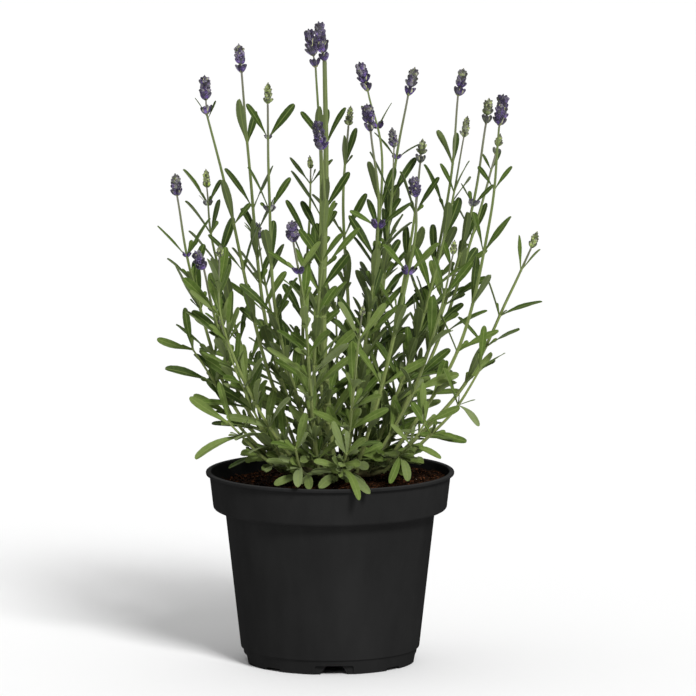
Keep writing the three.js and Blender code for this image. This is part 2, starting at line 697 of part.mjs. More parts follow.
const growing = SHOOTS.map((shoot) => {
  const curve = stemCurve(shoot);
  const parts = [solidOf(makeStem(shoot, curve))];
  const [kind] = shoot.head;
  if (kind !== 'none') {
    const { place, turn } = headPose(shoot, curve, kind === 'spike' ? HEAD_LIFT : -HEAD_SINK);
    const head = makeHead(shoot.head);
    const set = new THREE.Matrix4().compose(place, turn, new THREE.Vector3(1, 1, 1));
    const solid = solidOf(head.clone().applyMatrix4(set));
    remember(`${shoot.name}_head`, solid);
    if (kind === 'spike') {
      const mesh = addPiece(`spike_${shoot.name}`, head, violet);
      mesh.position.copy(place);
      mesh.quaternion.copy(turn);
    } else {
      parts.push(solid);
    }
  }
  remember(shoot.name, parts[0]);
  return { shoot, curve, parts };
});

for (const { shoot, curve, parts } of growing) {
  for (const choices of leafChoices(shoot, curve)) {
    const grown = choices.map(([place, tip, arch]) => solidOf(makeLeaf(curve, place, tip, arch)));
    const clear = grown.find((leaf) => isClear(shoot.name, leaf));
    if (clear) {
      parts.push(clear);
      remember(shoot.name, clear);
    }
  }
  const kind = shoot.head[0] === 'spike' ? 'shoot' : 'sprig';
  addPiece(`${kind}_${shoot.name}`, geometryOf(wasm.Manifold.union(parts)), leafGreen);
}

export default lavender;
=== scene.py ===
import math
import random
from collections import namedtuple

import bmesh
import bpy
import numpy as np
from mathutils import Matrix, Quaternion, Vector, kdtree, noise


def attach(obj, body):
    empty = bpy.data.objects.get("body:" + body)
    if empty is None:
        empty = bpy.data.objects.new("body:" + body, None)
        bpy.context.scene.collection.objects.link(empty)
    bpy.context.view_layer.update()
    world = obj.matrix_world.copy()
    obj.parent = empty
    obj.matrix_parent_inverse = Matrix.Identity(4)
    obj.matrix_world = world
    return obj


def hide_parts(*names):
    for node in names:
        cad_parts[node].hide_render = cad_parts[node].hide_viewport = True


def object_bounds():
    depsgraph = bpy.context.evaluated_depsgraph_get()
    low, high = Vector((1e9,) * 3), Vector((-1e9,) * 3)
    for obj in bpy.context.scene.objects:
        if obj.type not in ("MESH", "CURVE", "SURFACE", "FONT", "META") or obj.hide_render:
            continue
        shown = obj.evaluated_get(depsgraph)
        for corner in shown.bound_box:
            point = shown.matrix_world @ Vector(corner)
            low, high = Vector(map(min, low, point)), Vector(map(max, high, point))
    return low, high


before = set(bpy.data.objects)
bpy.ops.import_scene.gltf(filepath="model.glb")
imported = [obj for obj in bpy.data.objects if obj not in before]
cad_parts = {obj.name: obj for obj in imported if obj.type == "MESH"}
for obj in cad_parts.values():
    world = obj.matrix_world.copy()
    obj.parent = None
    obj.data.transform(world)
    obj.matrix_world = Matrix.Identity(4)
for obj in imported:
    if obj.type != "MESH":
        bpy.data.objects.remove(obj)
cad_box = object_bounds()
bpy.ops.object.select_all(action="DESELECT")


# ---- Pot ----------------------------------------------------------------------------------------------
# A black nursery pot, 190 mm across the lip and 147 mm high, injection moulded in one piece from
# polypropylene with a 1.4 mm wall. Its collar ends in a rounded shoulder, and its raised floor stands on
# feet, which wide and narrow drainage notches divide.

mm = 0.001
LIP_HEIGHT = 147
COLLAR_RADIUS = 92.3  # just under the lip
WALL = 1.4
POT_SIDES = 144
POT_TURN = math.radians(2.9)  # the front notch stands a little to the right


def select_only(piece):
    bpy.ops.object.select_all(action="DESELECT")
    piece.select_set(True)
    bpy.context.view_layer.objects.active = piece


def start_editing(piece):
    select_only(piece)
    bpy.ops.object.mode_set(mode="EDIT")


def extrude_up(height):
    bpy.ops.mesh.extrude_region_move(TRANSFORM_OT_translate={"value": (0, 0, height)})


def scale_by(x, y, z):
    bpy.ops.transform.resize(value=(x, y, z), center_override=(0, 0, 0))


def choose(piece, kind, test):
    """In edit mode, selects the piece's faces, edges or verts that pass the test, and nothing else."""
    bpy.ops.mesh.select_mode(type={"verts": "VERT", "edges": "EDGE", "faces": "FACE"}[kind])
    bpy.ops.mesh.select_all(action="DESELECT")
    mesh = bmesh.from_edit_mesh(piece.data)
    for part in getattr(mesh, kind):
        if test(part):
            part.select_set(True)
    bmesh.update_edit_mesh(piece.data)


def turned(name, profile, sides):
    """A closed turned shape, drawn out ring by ring through [radius, height] points that start and end
    on the axis."""
    bpy.ops.mesh.primitive_circle_add(vertices=sides, radius=profile[1][0] * mm)
    piece = bpy.context.object
    piece.name = name
    start_editing(piece)
    bpy.ops.mesh.select_all(action="SELECT")
    bpy.ops.transform.translate(value=(0, 0, profile[1][1] * mm))
    for (radius, height), (wider, higher) in zip(profile[1:-2], profile[2:-1]):
        extrude_up((higher - height) * mm)
        scale_by(wider / radius, wider / radius, 1)
    for end, ring in ((profile[-1], profile[-2]), (profile[0], profile[1])):
        extrude_up((end[1] - ring[1]) * mm)
        bpy.ops.mesh.merge(type="CENTER")
        bpy.ops.mesh.select_all(action="DESELECT")
        bpy.ops.mesh.select_non_manifold()
    bpy.ops.mesh.select_all(action="SELECT")
    bpy.ops.mesh.normals_make_consistent(inside=False)
    bpy.ops.object.mode_set(mode="OBJECT")
    return piece


def apply_modifier(piece, kind, **settings):
    modifier = piece.modifiers.new(kind, kind)
    for name, value in settings.items():
        setattr(modifier, name, value)
    select_only(piece)
    bpy.ops.object.modifier_apply(modifier=modifier.name)


def cut_away(piece, cutter):
    apply_modifier(piece, "BOOLEAN", operation="DIFFERENCE", solver="EXACT", object=cutter)
    bpy.data.objects.remove(cutter)


def pot_wall(inset):
    """The outside of the wall from the foot up or, with inset, the inside of it."""
    underside = []  # the collar's, which curves out from the body and then up
    for step in range(7):
        t = step / 6
        underside.append((80.3 + 9.2 * (1 - (1 - t) ** 2) - inset, 117 + 3.5 * t**2 + inset))
    return [
        (65 - inset, inset), (66.8 - inset, 10.4), (67.1 - inset, 11), (68.3 - inset, 11.6),
        (68.5 - inset, 12.3), *underside, (COLLAR_RADIUS - inset, 144.4),
    ]


def space_under_floor(grow):
    """Blocks for what the moulding leaves out under its floor, each grown where the wall goes round it.
    The first of each three is a channel, the second a wide notch and the third a narrow one."""
    top = 7 + grow
    foot = 11 - grow
    ring = turned("floor_space", [(0, -1), (46 + grow, -1), (46 + grow, top), (0, top)], 96)
    cut_away(ring, turned("centre_foot", [(0, -2), (foot, -2), (foot, top + 1), (0, top + 1)], 48))
    spaces = [ring]
    for quarter in range(4):
        for half, narrow, inner, height, across, rounding in (
            (11.4 + grow, 5.5 + grow, 12 - grow, top, 0, 0.8),
            (14.8 + grow, 14.8 + grow, 62.5 - grow, top, 0, 1.6),
            (7 + grow, 7 + grow, 59 - grow, 2.3 + grow, math.pi / 4, 0.8),
        ):
            bpy.ops.mesh.primitive_cube_add(
                size=1,
                location=(0, -(95 + inner) / 2 * mm, (height - 1) / 2 * mm),
                scale=(2 * half * mm, (95 - inner) * mm, (height + 1) * mm),
            )
            block = bpy.context.object
            bpy.ops.object.transform_apply()
            start_editing(block)
            choose(block, "faces", lambda face: face.normal.z > 0.9)
            scale_by(narrow / half, 1, 1)
            choose(block, "edges", lambda edge: all(v.co.z > 0 for v in edge.verts)
                   and abs(edge.verts[0].co.x - edge.verts[1].co.x) < 1e-6)
            bpy.ops.mesh.bevel(offset=rounding * mm, segments=4)
            bpy.ops.object.mode_set(mode="OBJECT")
            block.rotation_euler.z = POT_TURN + quarter * math.pi / 2 + across
            bpy.ops.object.transform_apply()
            spaces.append(block)
    return spaces


pot = turned("nursery_pot", [
    (0, 0), (64.2, 0), (64.9, 0.35), *pot_wall(0)[1:], (COLLAR_RADIUS, 144.5), (94.3, 144.5),
    (94.8, 144.8), (95, 145.3), (95, 146.2), (94.8, 146.7), (94.3, LIP_HEIGHT), (0, LIP_HEIGHT),
], POT_SIDES)
inside = turned("pot_inside", [
    (0, WALL), *pot_wall(WALL), (90.9, 145.9), (91.1, 146.6), (91.7, LIP_HEIGHT), (91.7, 149), (0, 149),
], POT_SIDES)
for space in space_under_floor(WALL):
    cut_away(inside, space)
cut_away(pot, inside)
for space in space_under_floor(0):
    cut_away(pot, space)
for hole in range(8):
    angle = POT_TURN + hole * math.pi / 4
    bpy.ops.mesh.primitive_cylinder_add(
        vertices=32, radius=5 * mm, depth=4.2 * mm,
        location=(34 * mm * math.sin(angle), -34 * mm * math.cos(angle), 7.7 * mm),
    )
    cut_away(pot, bpy.context.object)
apply_modifier(
    pot, "BEVEL", width=0.3 * mm, segments=2, limit_method="ANGLE", angle_limit=math.radians(50))
bpy.ops.object.shade_smooth_by_angle(angle=math.radians(32))


def new_material(name, color, roughness, specular, sheen=0.0, sheen_roughness=0.5):
    """A material and its main shader."""
    material = bpy.data.materials.new(name)
    material.use_nodes = True
    shader = material.node_tree.nodes["Principled BSDF"]
    for socket, value in (
        ("Base Color", (*color, 1)), ("Roughness", roughness), ("Specular IOR Level", specular),
        ("Sheen Weight", sheen), ("Sheen Roughness", sheen_roughness),
    ):
        shader.inputs[socket].default_value = value
    return material, shader


def add_node(material, kind, inputs=(), **settings):
    """Adds a node, with its inputs given by name as plain values or as other nodes' outputs."""
    node = material.node_tree.nodes.new(kind)
    for name, value in settings.items():
        setattr(node, name, value)
    for name, value in dict(inputs).items():
        if isinstance(value, bpy.types.NodeSocket):
            material.node_tree.links.new(value, node.inputs[name])
        else:
            node.inputs[name].default_value = value
    return node


def noise_of(material, scale, detail=3, roughness=0.55, stretch=(1, 1, 1), space="Object", distortion=0):
    """Noise in the object's own millimetres or on its UV map: scale counts its lumps in a metre."""
    place = add_node(material, "ShaderNodeTexCoord")
    mapping = add_node(material, "ShaderNodeMapping", {"Vector": place.outputs[space], "Scale": stretch})
    return add_node(material, "ShaderNodeTexNoise", {
        "Vector": mapping.outputs["Vector"], "Scale": scale, "Detail": detail, "Roughness": roughness,
        "Distortion": distortion,
    }).outputs["Fac"]


def ramp(material, factor, *stops):
    """A colour ramp, from (place, colour) stops. A number stands for a grey."""
    node = add_node(material, "ShaderNodeValToRGB", {"Fac": factor})
    while len(node.color_ramp.elements) < len(stops):
        node.color_ramp.elements.new(0.5)
    for element, (place, color) in zip(node.color_ramp.elements, stops):
        element.position = place
        element.color = (*(color if isinstance(color, tuple) else (color,) * 3), 1)
    return node.outputs["Color"]


def mix(material, factor, a, b, blend="MIX"):
    node = add_node(material, "ShaderNodeMix", data_type="RGBA", blend_type=blend)
    for socket, value in ((node.inputs[0], factor), (node.inputs[6], a), (node.inputs[7], b)):
        if isinstance(value, bpy.types.NodeSocket):
            material.node_tree.links.new(value, socket)
        elif isinstance(value, tuple):
            socket.default_value = (*value, 1)
        else:
            socket.default_value = value
    return node.outputs[2]


def height_between(material, low, high):
    """From 0 at one height to 1 at another, in millimetres."""
    place = add_node(material, "ShaderNodeTexCoord").outputs["Object"]
    height = add_node(material, "ShaderNodeSeparateXYZ", {"Vector": place}).outputs["Z"]
    return add_node(material, "ShaderNodeMapRange", {
        "Value": height, "From Min": low * mm, "From Max": high * mm,
    }).outputs["Result"]


def link(material, output, shader, name):
    material.node_tree.links.new(output, shader.inputs[name])


def bump(material, shader, height, distance, strength):
    node = add_node(material, "ShaderNodeBump", {
        "Height": height, "Distance": distance, "Strength": strength,
    })
    link(material, node.outputs["Normal"], shader, "Normal")


plastic, shader = new_material("black_polypropylene", (0.012, 0.012, 0.012), 0.45, specular=0.0)
grain = noise_of(plastic, 2600, 2)
clouds = noise_of(plastic, 38, 4, stretch=(1, 1, 0.35))
# A painted highlight: the top edge of the lip is painted a lighter grey where the key light would glint
# on it.
painted_lip_highlight = height_between(plastic, 146.5, 146.95)
black = ramp(plastic, clouds, (0.3, 0.0145), (0.7, 0.0195))
link(plastic, mix(plastic, painted_lip_highlight, black, (0.032, 0.032, 0.032)), shader, "Base Color")
bump(plastic, shader, grain, 0.06 * mm, 0.35)
pot.data.materials.append(plastic)
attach(pot, "root")
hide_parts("pot")


# ---- Soil ---------------------------------------------------------------------------------------------
# Damp peat and bark substrate, dark red-brown, that fills the pot to about 9 mm under the lip and lies a
# little higher at the right. Crumbs, bits of fibre and a few pale grains of perlite lie loose on it.

soil_random = random.Random(3)
CRUMBS, PALE_GRAINS, FIBRES = 3500, 30, 270


def soil_height(x, y):
    """The level of the soil at a place, in millimetres."""
    edge = (math.hypot(x, y) / COLLAR_RADIUS) ** 4
    lumps = math.sin(x * 0.13 + 1) * math.cos(y * 0.11 + 0.5) + math.sin(x * 0.05 - y * 0.07)
    return 138.4 + 0.035 * x - 1.5 * edge + 0.5 * lumps


soil_profile = [(0, 8.9), (62, 8.9), (66.4, 13.5), (78.2, 118.8), (87.4, 122.6), (89.7, 134)]
soil_profile += [(89.9 - 1.15 * ring, 138) for ring in range(77)] + [(0, 138)]
soil = turned("peat_soil", soil_profile, 240)
for vertex in soil.data.vertices:  # the flat top is raised to the soil's level and roughened
    x, y, z = vertex.co / mm
    if z > 137:
        vertex.co.z = mm * (
            soil_height(x, y)
            + 1.1 * noise.noise(Vector((x, y, 0)) / 11)
            + 1.5 * noise.noise(Vector((x, y, 9)) / 3.6)
            + 1.1 * noise.noise(Vector((x, y, 20)) / 1.7)
            + 0.6 * noise.noise(Vector((x, y, 30)) / 0.8)
        )
bpy.ops.object.shade_smooth()


def keep_shape(piece):
    """The points and faces of a modelled shape, ready to be copied. The shape itself is removed."""
    mesh = piece.data
    points = np.array([vertex.co for vertex in mesh.vertices])
    faces = [tuple(face.vertices) for face in mesh.polygons]
    bpy.data.objects.remove(piece)
    return points, faces


def piece_from(name, copies, materials):
    """One piece from copies of shapes. Each copy holds its points, its faces, a tint for each point that
    tells how the material varies there, and the number of its material."""
    points = np.concatenate([copy[0] for copy in copies])
    tints = np.concatenate([copy[2] for copy in copies])
    faces = []
    slots = []
    start = 0
    for copy_points, copy_faces, _, slot in copies:
        faces += [tuple(start + corner for corner in face) for face in copy_faces]
        slots += [slot] * len(copy_faces)
        start += len(copy_points)
    mesh = bpy.data.meshes.new(name)
    mesh.from_pydata(points.tolist(), [], faces)
    mesh.color_attributes.new("tint", "FLOAT_COLOR", "POINT").data.foreach_set("color", tints.ravel())
    mesh.polygons.foreach_set("material_index", slots)
    mesh.polygons.foreach_set("use_smooth", [True] * len(faces))
    mesh.set_sharp_from_angle(angle=math.radians(55))
    for material in materials:
        mesh.materials.append(material)
    piece = bpy.data.objects.new(name, mesh)
    bpy.context.scene.collection.objects.link(piece)
    return piece


def tint_of(points, *channels):
    """The same colour, or a channel for each point, for all the points of a copy."""
    tint = np.ones((len(points), 4))
    for number, channel in enumerate(channels):
        tint[:, number] = channel
    return tint


def crumb_shape(seed):
    bpy.ops.mesh.primitive_ico_sphere_add(subdivisions=1, radius=1)
    crumb = bpy.context.object
    start_editing(crumb)
    bpy.ops.mesh.select_all(action="SELECT")
    bpy.ops.transform.vertex_random(offset=0.45, uniform=1, seed=seed)
    scale_by(1, 0.8, 0.6)
    bpy.ops.object.mode_set(mode="OBJECT")
    return keep_shape(crumb)


def fibre_shape():
    bpy.ops.mesh.primitive_cylinder_add(vertices=5, radius=0.05, depth=2)
    fibre = bpy.context.object
    start_editing(fibre)
    choose(fibre, "edges", lambda edge: abs(edge.verts[0].co.z - edge.verts[1].co.z) > 1)
    bpy.ops.mesh.subdivide(number_cuts=3)
    choose(fibre, "verts", lambda vertex: abs(vertex.co.z) < 0.3)
    bpy.ops.transform.translate(value=(0.16, 0, 0))
    bpy.ops.object.mode_set(mode="OBJECT")
    return keep_shape(fibre)


crumb_shapes = [crumb_shape(seed) for seed in range(1, 7)]
fibre = fibre_shape()
litter = []
for number in range(CRUMBS + PALE_GRAINS + FIBRES):
    radius = 88.5 * math.sqrt(soil_random.random())
    angle = soil_random.uniform(0, 2 * math.pi)
    x, y = radius * math.cos(angle), radius * math.sin(angle)
    if number < CRUMBS:
        points, faces = crumb_shapes[number % 6]
        size = 0.55 + 1.5 * soil_random.random() ** 2.5
        shade = (soil_random.random(), 0, 0)
    elif number < CRUMBS + PALE_GRAINS:
        points, faces = crumb_shapes[number % 6]
        size = soil_random.uniform(0.25, 0.55)
        shade = (soil_random.random(), 1, 0)
    else:
        points, faces = fibre
        size = soil_random.uniform(1.5, 4.5)
        shade = (soil_random.uniform(0.4, 1), 0, 0)
    lie = Quaternion((0, 0, 1), soil_random.uniform(0, 6.3)) @ Quaternion(
        (1, 0, 0), soil_random.uniform(-0.5, 0.5) + (math.pi / 2 if faces is fibre[1] else 0))
    place = np.array((x, y, soil_height(x, y) + 0.3 + 0.2 * size)) * mm
    laid = points @ np.array(lie.to_matrix()).T * size * mm + place
    litter.append((laid, faces, tint_of(points, *shade), 0))


def tint_channels(material):
    """The red, green, blue and alpha of a piece's tint."""
    tint = add_node(material, "ShaderNodeVertexColor", layer_name="tint")
    parts = add_node(material, "ShaderNodeSeparateColor", {"Color": tint.outputs["Color"]})
    return *parts.outputs, tint.outputs["Alpha"]


peat, shader = new_material("damp_peat", (0.02, 0.01, 0.007), 0.9, specular=0.02)
fine = noise_of(peat, 1500, 5, 0.7)
coarse = noise_of(peat, 420, 4, 0.6)
tone, pale, *_ = tint_channels(peat)
brown = ramp(peat, mix(peat, 0.45, fine, coarse), (0.34, (0.004, 0.0025, 0.0015)),
             (0.48, (0.014, 0.007, 0.004)), (0.58, (0.040, 0.018, 0.009)), (0.70, (0.12, 0.052, 0.025)))
shade = ramp(peat, tone, (0.0, 0.2), (0.6, (0.85, 0.8, 0.75)), (1.0, (4.6, 3.7, 3.1)))
brown = mix(peat, 1.0, brown, shade, "MULTIPLY")
link(peat, mix(peat, pale, brown, (0.42, 0.34, 0.27)), shader, "Base Color")
bump(peat, shader, fine, 0.5 * mm, 0.7)
soil_tint = soil.data.color_attributes.new("tint", "FLOAT_COLOR", "POINT")
soil_tint.data.foreach_set("color", tint_of(soil.data.vertices, 0.5, 0, 0).ravel())
soil.data.materials.append(peat)
soil_litter = piece_from("soil_crumbs", litter, [peat])
for piece in (soil, soil_litter):
    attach(piece, "root")
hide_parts("soil")


# ---- Crown --------------------------------------------------------------------------------------------
# The plant's woody foot: a short stock, 16 mm thick, that stands in the soil and forks at its surface
# into one brown arm for each shoot. Leaves hide most of it.

# Each shoot, in millimetres: its name; the four points that its stem runs through from the crown up;
# the height of its highest free leaf pair, and which way in degrees that pair faces; the leaves with a
# set tip, as the height where each leaves the stem, the tip and how far it arches; and the head, as its
# kind, length, radius, distance down to a separate lower whorl, and lean to the right in degrees. The
# last two leaves of 01, right_lower, front_right and front_left are not in the frame.
Shoot = namedtuple("Shoot", "name stem pair facing leaves head")
Head = namedtuple("Head", "kind length radius lower_gap lean")
SHOOTS = [Shoot(*facts, Head(*head)) for *facts, head in [
    ("01", ((-21, 8, 148), (-52, 14, 237), (-78, 21, 355), (-94, 25, 418)), 298, 0,
     ((334, -82, 8, 370, 1), (334, -61, 31, 349, 1), (415, -103, 22, 431, 2),
      (415, -87, 21, 429, -1)), ("spike", 19, 4.6, 10, -3)),
    ("02", ((-14, 21, 148), (-48, 38, 249), (-62, 60, 374), (-68, 70, 445)), 342, 0,
     ((392, -70, 50, 427, 2), (392, -57, 76, 415, 2)), ("spike", 16, 4.2, 5, -6)),
    ("03", ((-9, -8, 150), (-40, -14, 263), (-46, -21, 364), (-47, -25, 431)), 306, 80,
     ((405, -63, -28, 432, 1), (405, -27, -20, 431, 1), (349, -62, -30, 384, 2),
      (349, -30, -12, 374, 2)), ("spike", 15, 3.2, 0, 1)),
    ("04", ((-3, 10, 151), (-8, 19, 251), (-7, 30, 374), (-11, 35, 453)), 340, 10,
     ((393, -8, 20, 425, 2), (393, -2, 46, 420, 2)), ("spike", 21, 5, 8, -11)),
    ("05", ((2, -4, 150), (-5, -8, 255), (-3, -13, 379), (-4, -15, 463)), 344, 90,
     ((398, -22, -20, 425, 1), (398, 12, -8, 427, 2)), ("spike", 24, 4.9, 4, -9)),
    ("06", ((-3, -24, 147), (-12, -44, 229), (-4, -68, 343), (-6, -80, 402)), 292, 0,
     ((335, -3, -82, 366, 1), (335, 4, -58, 362, 1)), ("spike", 22, 5.2, 0, -9)),
    ("08", ((12, 28, 148), (15, 52, 239), (10, 81, 340), (14, 95, 401)), 318, 0,
     ((371, 11, 78, 396, 2), (371, 20, 102, 399, 2)), ("spike", 14, 3, 0, 7)),
    ("09", ((17, 18, 148), (29, 33, 249), (40, 51, 374), (29, 60, 432)), 344, 60,
     ((404, 47, 52, 424, 1), (404, 24, 68, 420, 1)), ("spike", 17, 5, 4, -17)),
    ("10", ((12, 3, 149), (26, 3, 238), (37, 4, 342), (31, 5, 407)), 288, 90,
     ((333, 62, 0, 353, 2), (333, 15, 8, 346, 2)), ("spike", 15, 5, 5, -8)),
    ("11", ((21, 26, 148), (37, 47, 247), (49, 72, 365), (60, 85, 426)), 326, 100,
     ((378, 34, 80, 398, 2), (378, 69, 70, 390, 2)), ("spike", 16, 4.2, 4, 14)),
    ("13", ((26, 12, 147), (46, 22, 235), (63, 34, 327), (69, 40, 379)), 340, 15,
     (), ("spike", 12, 3.6, 4, 6)),
    ("14", ((20, -22, 147), (42, -41, 229), (63, -64, 327), (65, -75, 366)), 258, 90,
     ((306, 40, -72, 330, 2), (306, 82, -70, 331, 1)), ("spike", 16, 4.8, 0, -9)),
    ("15", ((32, 16, 148), (67, 30, 242), (91, 47, 356), (98, 55, 429)), 340, 20,
     ((377, 82, 42, 404, 2), (377, 97, 62, 400, 2)), ("spike", 15, 4.2, 5, 12)),
    ("17", ((35, 8, 147), (76, 14, 240), (107, 21, 340), (119, 25, 411)), 312, 80,
     ((348, 100, 18, 366, 2), (348, 125, 26, 364, 2)), ("spike", 13, 4, 5, 7)),
    ("18", ((40, -9, 147), (96, -16, 239), (121, -26, 342), (128, -30, 415)), 318, 10,
     ((366, 138, -24, 384, 2), (366, 112, -34, 385, 2)), ("spike", 23, 5.2, 0, 7)),
    ("19", ((38, 20, 149), (81, 33, 238), (110, 51, 324), (127, 60, 383)), 286, 70,
     ((371, 117, 58, 384, 0), (371, 131, 66, 386, 0), (321, 94, 44, 349, 5), (321, 120, 58, 346, 3)),
     ("spike", 10, 3, 3, 13)),
    ("20", ((43, 0, 147), (101, 0, 211), (136, 0, 281), (153, 0, 318)), 214, 70,
     ((301, 144, 4, 328, 1), (301, 160, -4, 318, 1), (266, 162, 10, 276, 3), (266, 119, -8, 298, 2),
      (242, 144, -16, 258, 4), (242, 98, 12, 264, 2)), ("spike", 12, 3.2, 0, 20)),
    ("22", ((-31, -3, 148), (-75, -6, 201), (-105, -8, 297), (-116, -10, 359)), 236, 20,
     ((313, -131, -12, 337, -1), (313, -91, -6, 342, 2), (272, -117, -24, 308, 1),
      (272, -103, 8, 308, 1)), ("spike", 16, 4.2, 0, -5)),
    ("25", ((-27, -15, 147), (-66, -28, 204), (-86, -42, 267), (-95, -50, 308)), 276, 0,
     (), ("spike", 15, 4.5, 0, -25)),
    ("28", ((-9, -34, 147), (-14, -63, 209), (-19, -98, 286), (-27, -115, 337)), 268, 90,
     ((313, -46, -110, 330, 2), (313, -7, -106, 337, 1)), ("spike", 16, 5, 0, -5)),
    ("07", ((-11, 30, 148), (-21, 44, 233), (-16, 64, 331), (-15, 75, 371)), 314, 0,
     ((359, -31, 78, 379, 1), (359, 2, 72, 378, 1)), ("bud", 9, 2.4, 0, -5)),
    ("12", ((19, 10, 147), (32, 25, 235), (46, 38, 338), (49, 45, 391)), 352, 30,
     (), ("bud", 14, 3.6, 0, -6)),
    ("16", ((29, 3, 147), (63, 6, 238), (89, 8, 334), (102, 10, 403)), 324, 75,
     ((360, 106, 4, 385, 2), (360, 84, 12, 382, 2)), ("bud", 15, 3.2, 0, 10)),
    ("21", ((29, -18, 147), (63, -33, 212), (83, -51, 275), (93, -60, 322)), 288, 15,
     (), ("bud", 10, 2.8, 0, 6)),
    ("23", ((-23, 21, 149), (-61, 38, 218), (-89, 60, 308), (-95, 70, 357)), 298, 10,
     ((343, -113, 66, 371, 1), (343, -84, 74, 362, 1)), ("bud", 13, 3, 0, -3)),
    ("26", ((-21, -26, 147), (-55, -47, 203), (-81, -72, 271), (-83, -85, 323)), 296, 70,
     (), ("bud", 9, 2.8, 0, 5)),
    ("27", ((-6, 34, 148), (-32, 61, 207), (-49, 94, 272), (-56, 110, 312)), 276, 20,
     (), ("bud", 12, 3.8, 0, -6)),
    ("29", ((-30, -21, 147), (-52, -33, 186), (-72, -51, 234), (-82, -60, 268)), 254, 50,
     (), ("bud", 7, 2.4, 0, -10)),
    ("34", ((9, -33, 147), (15, -61, 190), (20, -94, 244), (24, -110, 282)), 262, 10,
     (), ("bud", 8, 2.4, 0, 8)),
    ("left_upper", ((-36, -10, 148), (-69, -19, 184), (-90, -30, 223), (-105, -35, 247)), 192, 60,
     ((245, -131, -38, 254, -1), (245, -110, -32, 277, 1), (218, -125, -37, 231, 4),
      (218, -66, -22, 246, 2)), ("none", 0, 0, 0, 0)),
    ("left_lower", ((-37, -18, 147), (-54, -28, 164), (-66, -42, 179), (-77, -50, 192)), 0, 0,
     ((190, -106, -58, 212, 2), (190, -84, -44, 222, 1), (180, -102, -52, 164, 8),
      (180, -62, -66, 196, 3)), ("none", 0, 0, 0, 0)),
    ("right_upper", ((46, -12, 147), (74, -19, 175), (96, -30, 200), (115, -35, 232)), 0, 0,
     ((230, 117, -38, 264, 1), (230, 133, -36, 243, 1), (202, 113, -44, 188, 5),
      (202, 86, -34, 232, 2), (178, 96, -30, 176, 5), (178, 62, -30, 204, 2)), ("none", 0, 0, 0, 0)),
    ("right_lower", ((41, -22, 147), (53, -33, 163), (63, -51, 177), (72, -60, 193)), 0, 0,
     ((192, 98, -68, 206, 2), (192, 70, -60, 224, 1), (174, 84, -62, 166, 5),
      (174, 46, -62, 192, 2), (163, 45, -73, 149, 8), (163, 59, -64, 149, 8)), ("none", 0, 0, 0, 0)),
    ("front_right", ((5, -28, 147), (7, -46, 151), (9, -64, 159), (13, -78, 172)), 0, 0,
     ((171, 27, -96, 186, 4), (171, 2, -88, 198, 2), (158, 22, -104, 141, 12),
      (158, -12, -78, 166, 4), (152, 27, -76, 148, 8), (152, -14, -62, 156, 4),
      (154, 30, -98, 145, 9), (150, -8, -84, 147, 6)), ("none", 0, 0, 0, 0)),
    ("front_left", ((-13, -28, 147), (-18, -46, 151), (-23, -62, 160), (-26, -76, 176)), 0, 0,
     ((174, -44, -92, 182, 4), (174, -18, -84, 204, 2), (158, -24, -98, 150, 10),
      (158, -48, -60, 164, 5), (151, -15, -84, 146, 5), (151, -42, -68, 147, 4)), ("none", 0, 0, 0, 0)),
    ("back_right", ((32, 33, 149), (53, 61, 191), (65, 94, 233), (72, 110, 270)), 262, 30,
     (), ("none", 0, 0, 0, 0)),
    ("back", ((8, 40, 149), (6, 69, 190), (5, 106, 231), (4, 125, 260)), 252, 60,
     (), ("none", 0, 0, 0, 0)),
]]

UP = Vector((0, 0, 1))
fork = turned("crown_fork", [
    (0, 117), (8, 117), (8.4, 128), (10.5, 138), (11, 142), (7.5, 145.5), (0, 146)], 24)
arms = [fork]
for shoot in SHOOTS:
    foot = Vector(shoot.stem[0])
    outward = Vector((foot.x, foot.y, 0)).normalized()
    bends = [
        outward * 3 + UP * 139, outward * min(9, foot.xy.length * 0.5) + UP * 143.6,
        foot.lerp(outward * 9 + UP * 143.6, 0.35) + UP * 0.3, foot + UP * 1.2, foot + UP * 4.4,
    ]
    bpy.ops.curve.primitive_nurbs_path_add()
    arm = bpy.context.object
    spline = arm.data.splines[0]
    for point, bend, thickness in zip(spline.points, bends, (4.2, 3.1, 2.3, 1.9, 1.55)):
        point.co = (*(bend * mm), 1)
        point.radius = thickness
    arm.data.bevel_depth = mm
    arm.data.bevel_resolution = 2
    arm.data.use_fill_caps = True
    bpy.ops.object.convert(target="MESH")
    arms.append(bpy.context.object)
bpy.ops.object.select_all(action="DESELECT")
for arm in arms:
    arm.select_set(True)
bpy.context.view_layer.objects.active = fork
bpy.ops.object.join()
crown = bpy.context.object
crown.name = "woody_crown"
apply_modifier(crown, "REMESH", mode="VOXEL", voxel_size=0.75 * mm)
apply_modifier(crown, "SMOOTH", factor=0.5, iterations=3)
outward_ways = [vertex.normal.copy() for vertex in crown.data.vertices]
for vertex, outward in zip(crown.data.vertices, outward_ways):
    out = 0.55 * noise.noise(vertex.co / (2.6 * mm)) + 0.3 * noise.noise(vertex.co / (1.1 * mm))
    vertex.co += outward * out * mm * (0.35 if vertex.co.z > 0.1475 else 1)
bpy.ops.object.shade_smooth()


def math_of(material, operation, a, b=0.0, clamp=False):
    node = add_node(material, "ShaderNodeMath", operation=operation, use_clamp=clamp)
    for socket, value in zip(node.inputs, (a, b)):
        if isinstance(value, bpy.types.NodeSocket):
            material.node_tree.links.new(value, socket)
        else:
            socket.default_value = value
    return node.outputs[0]


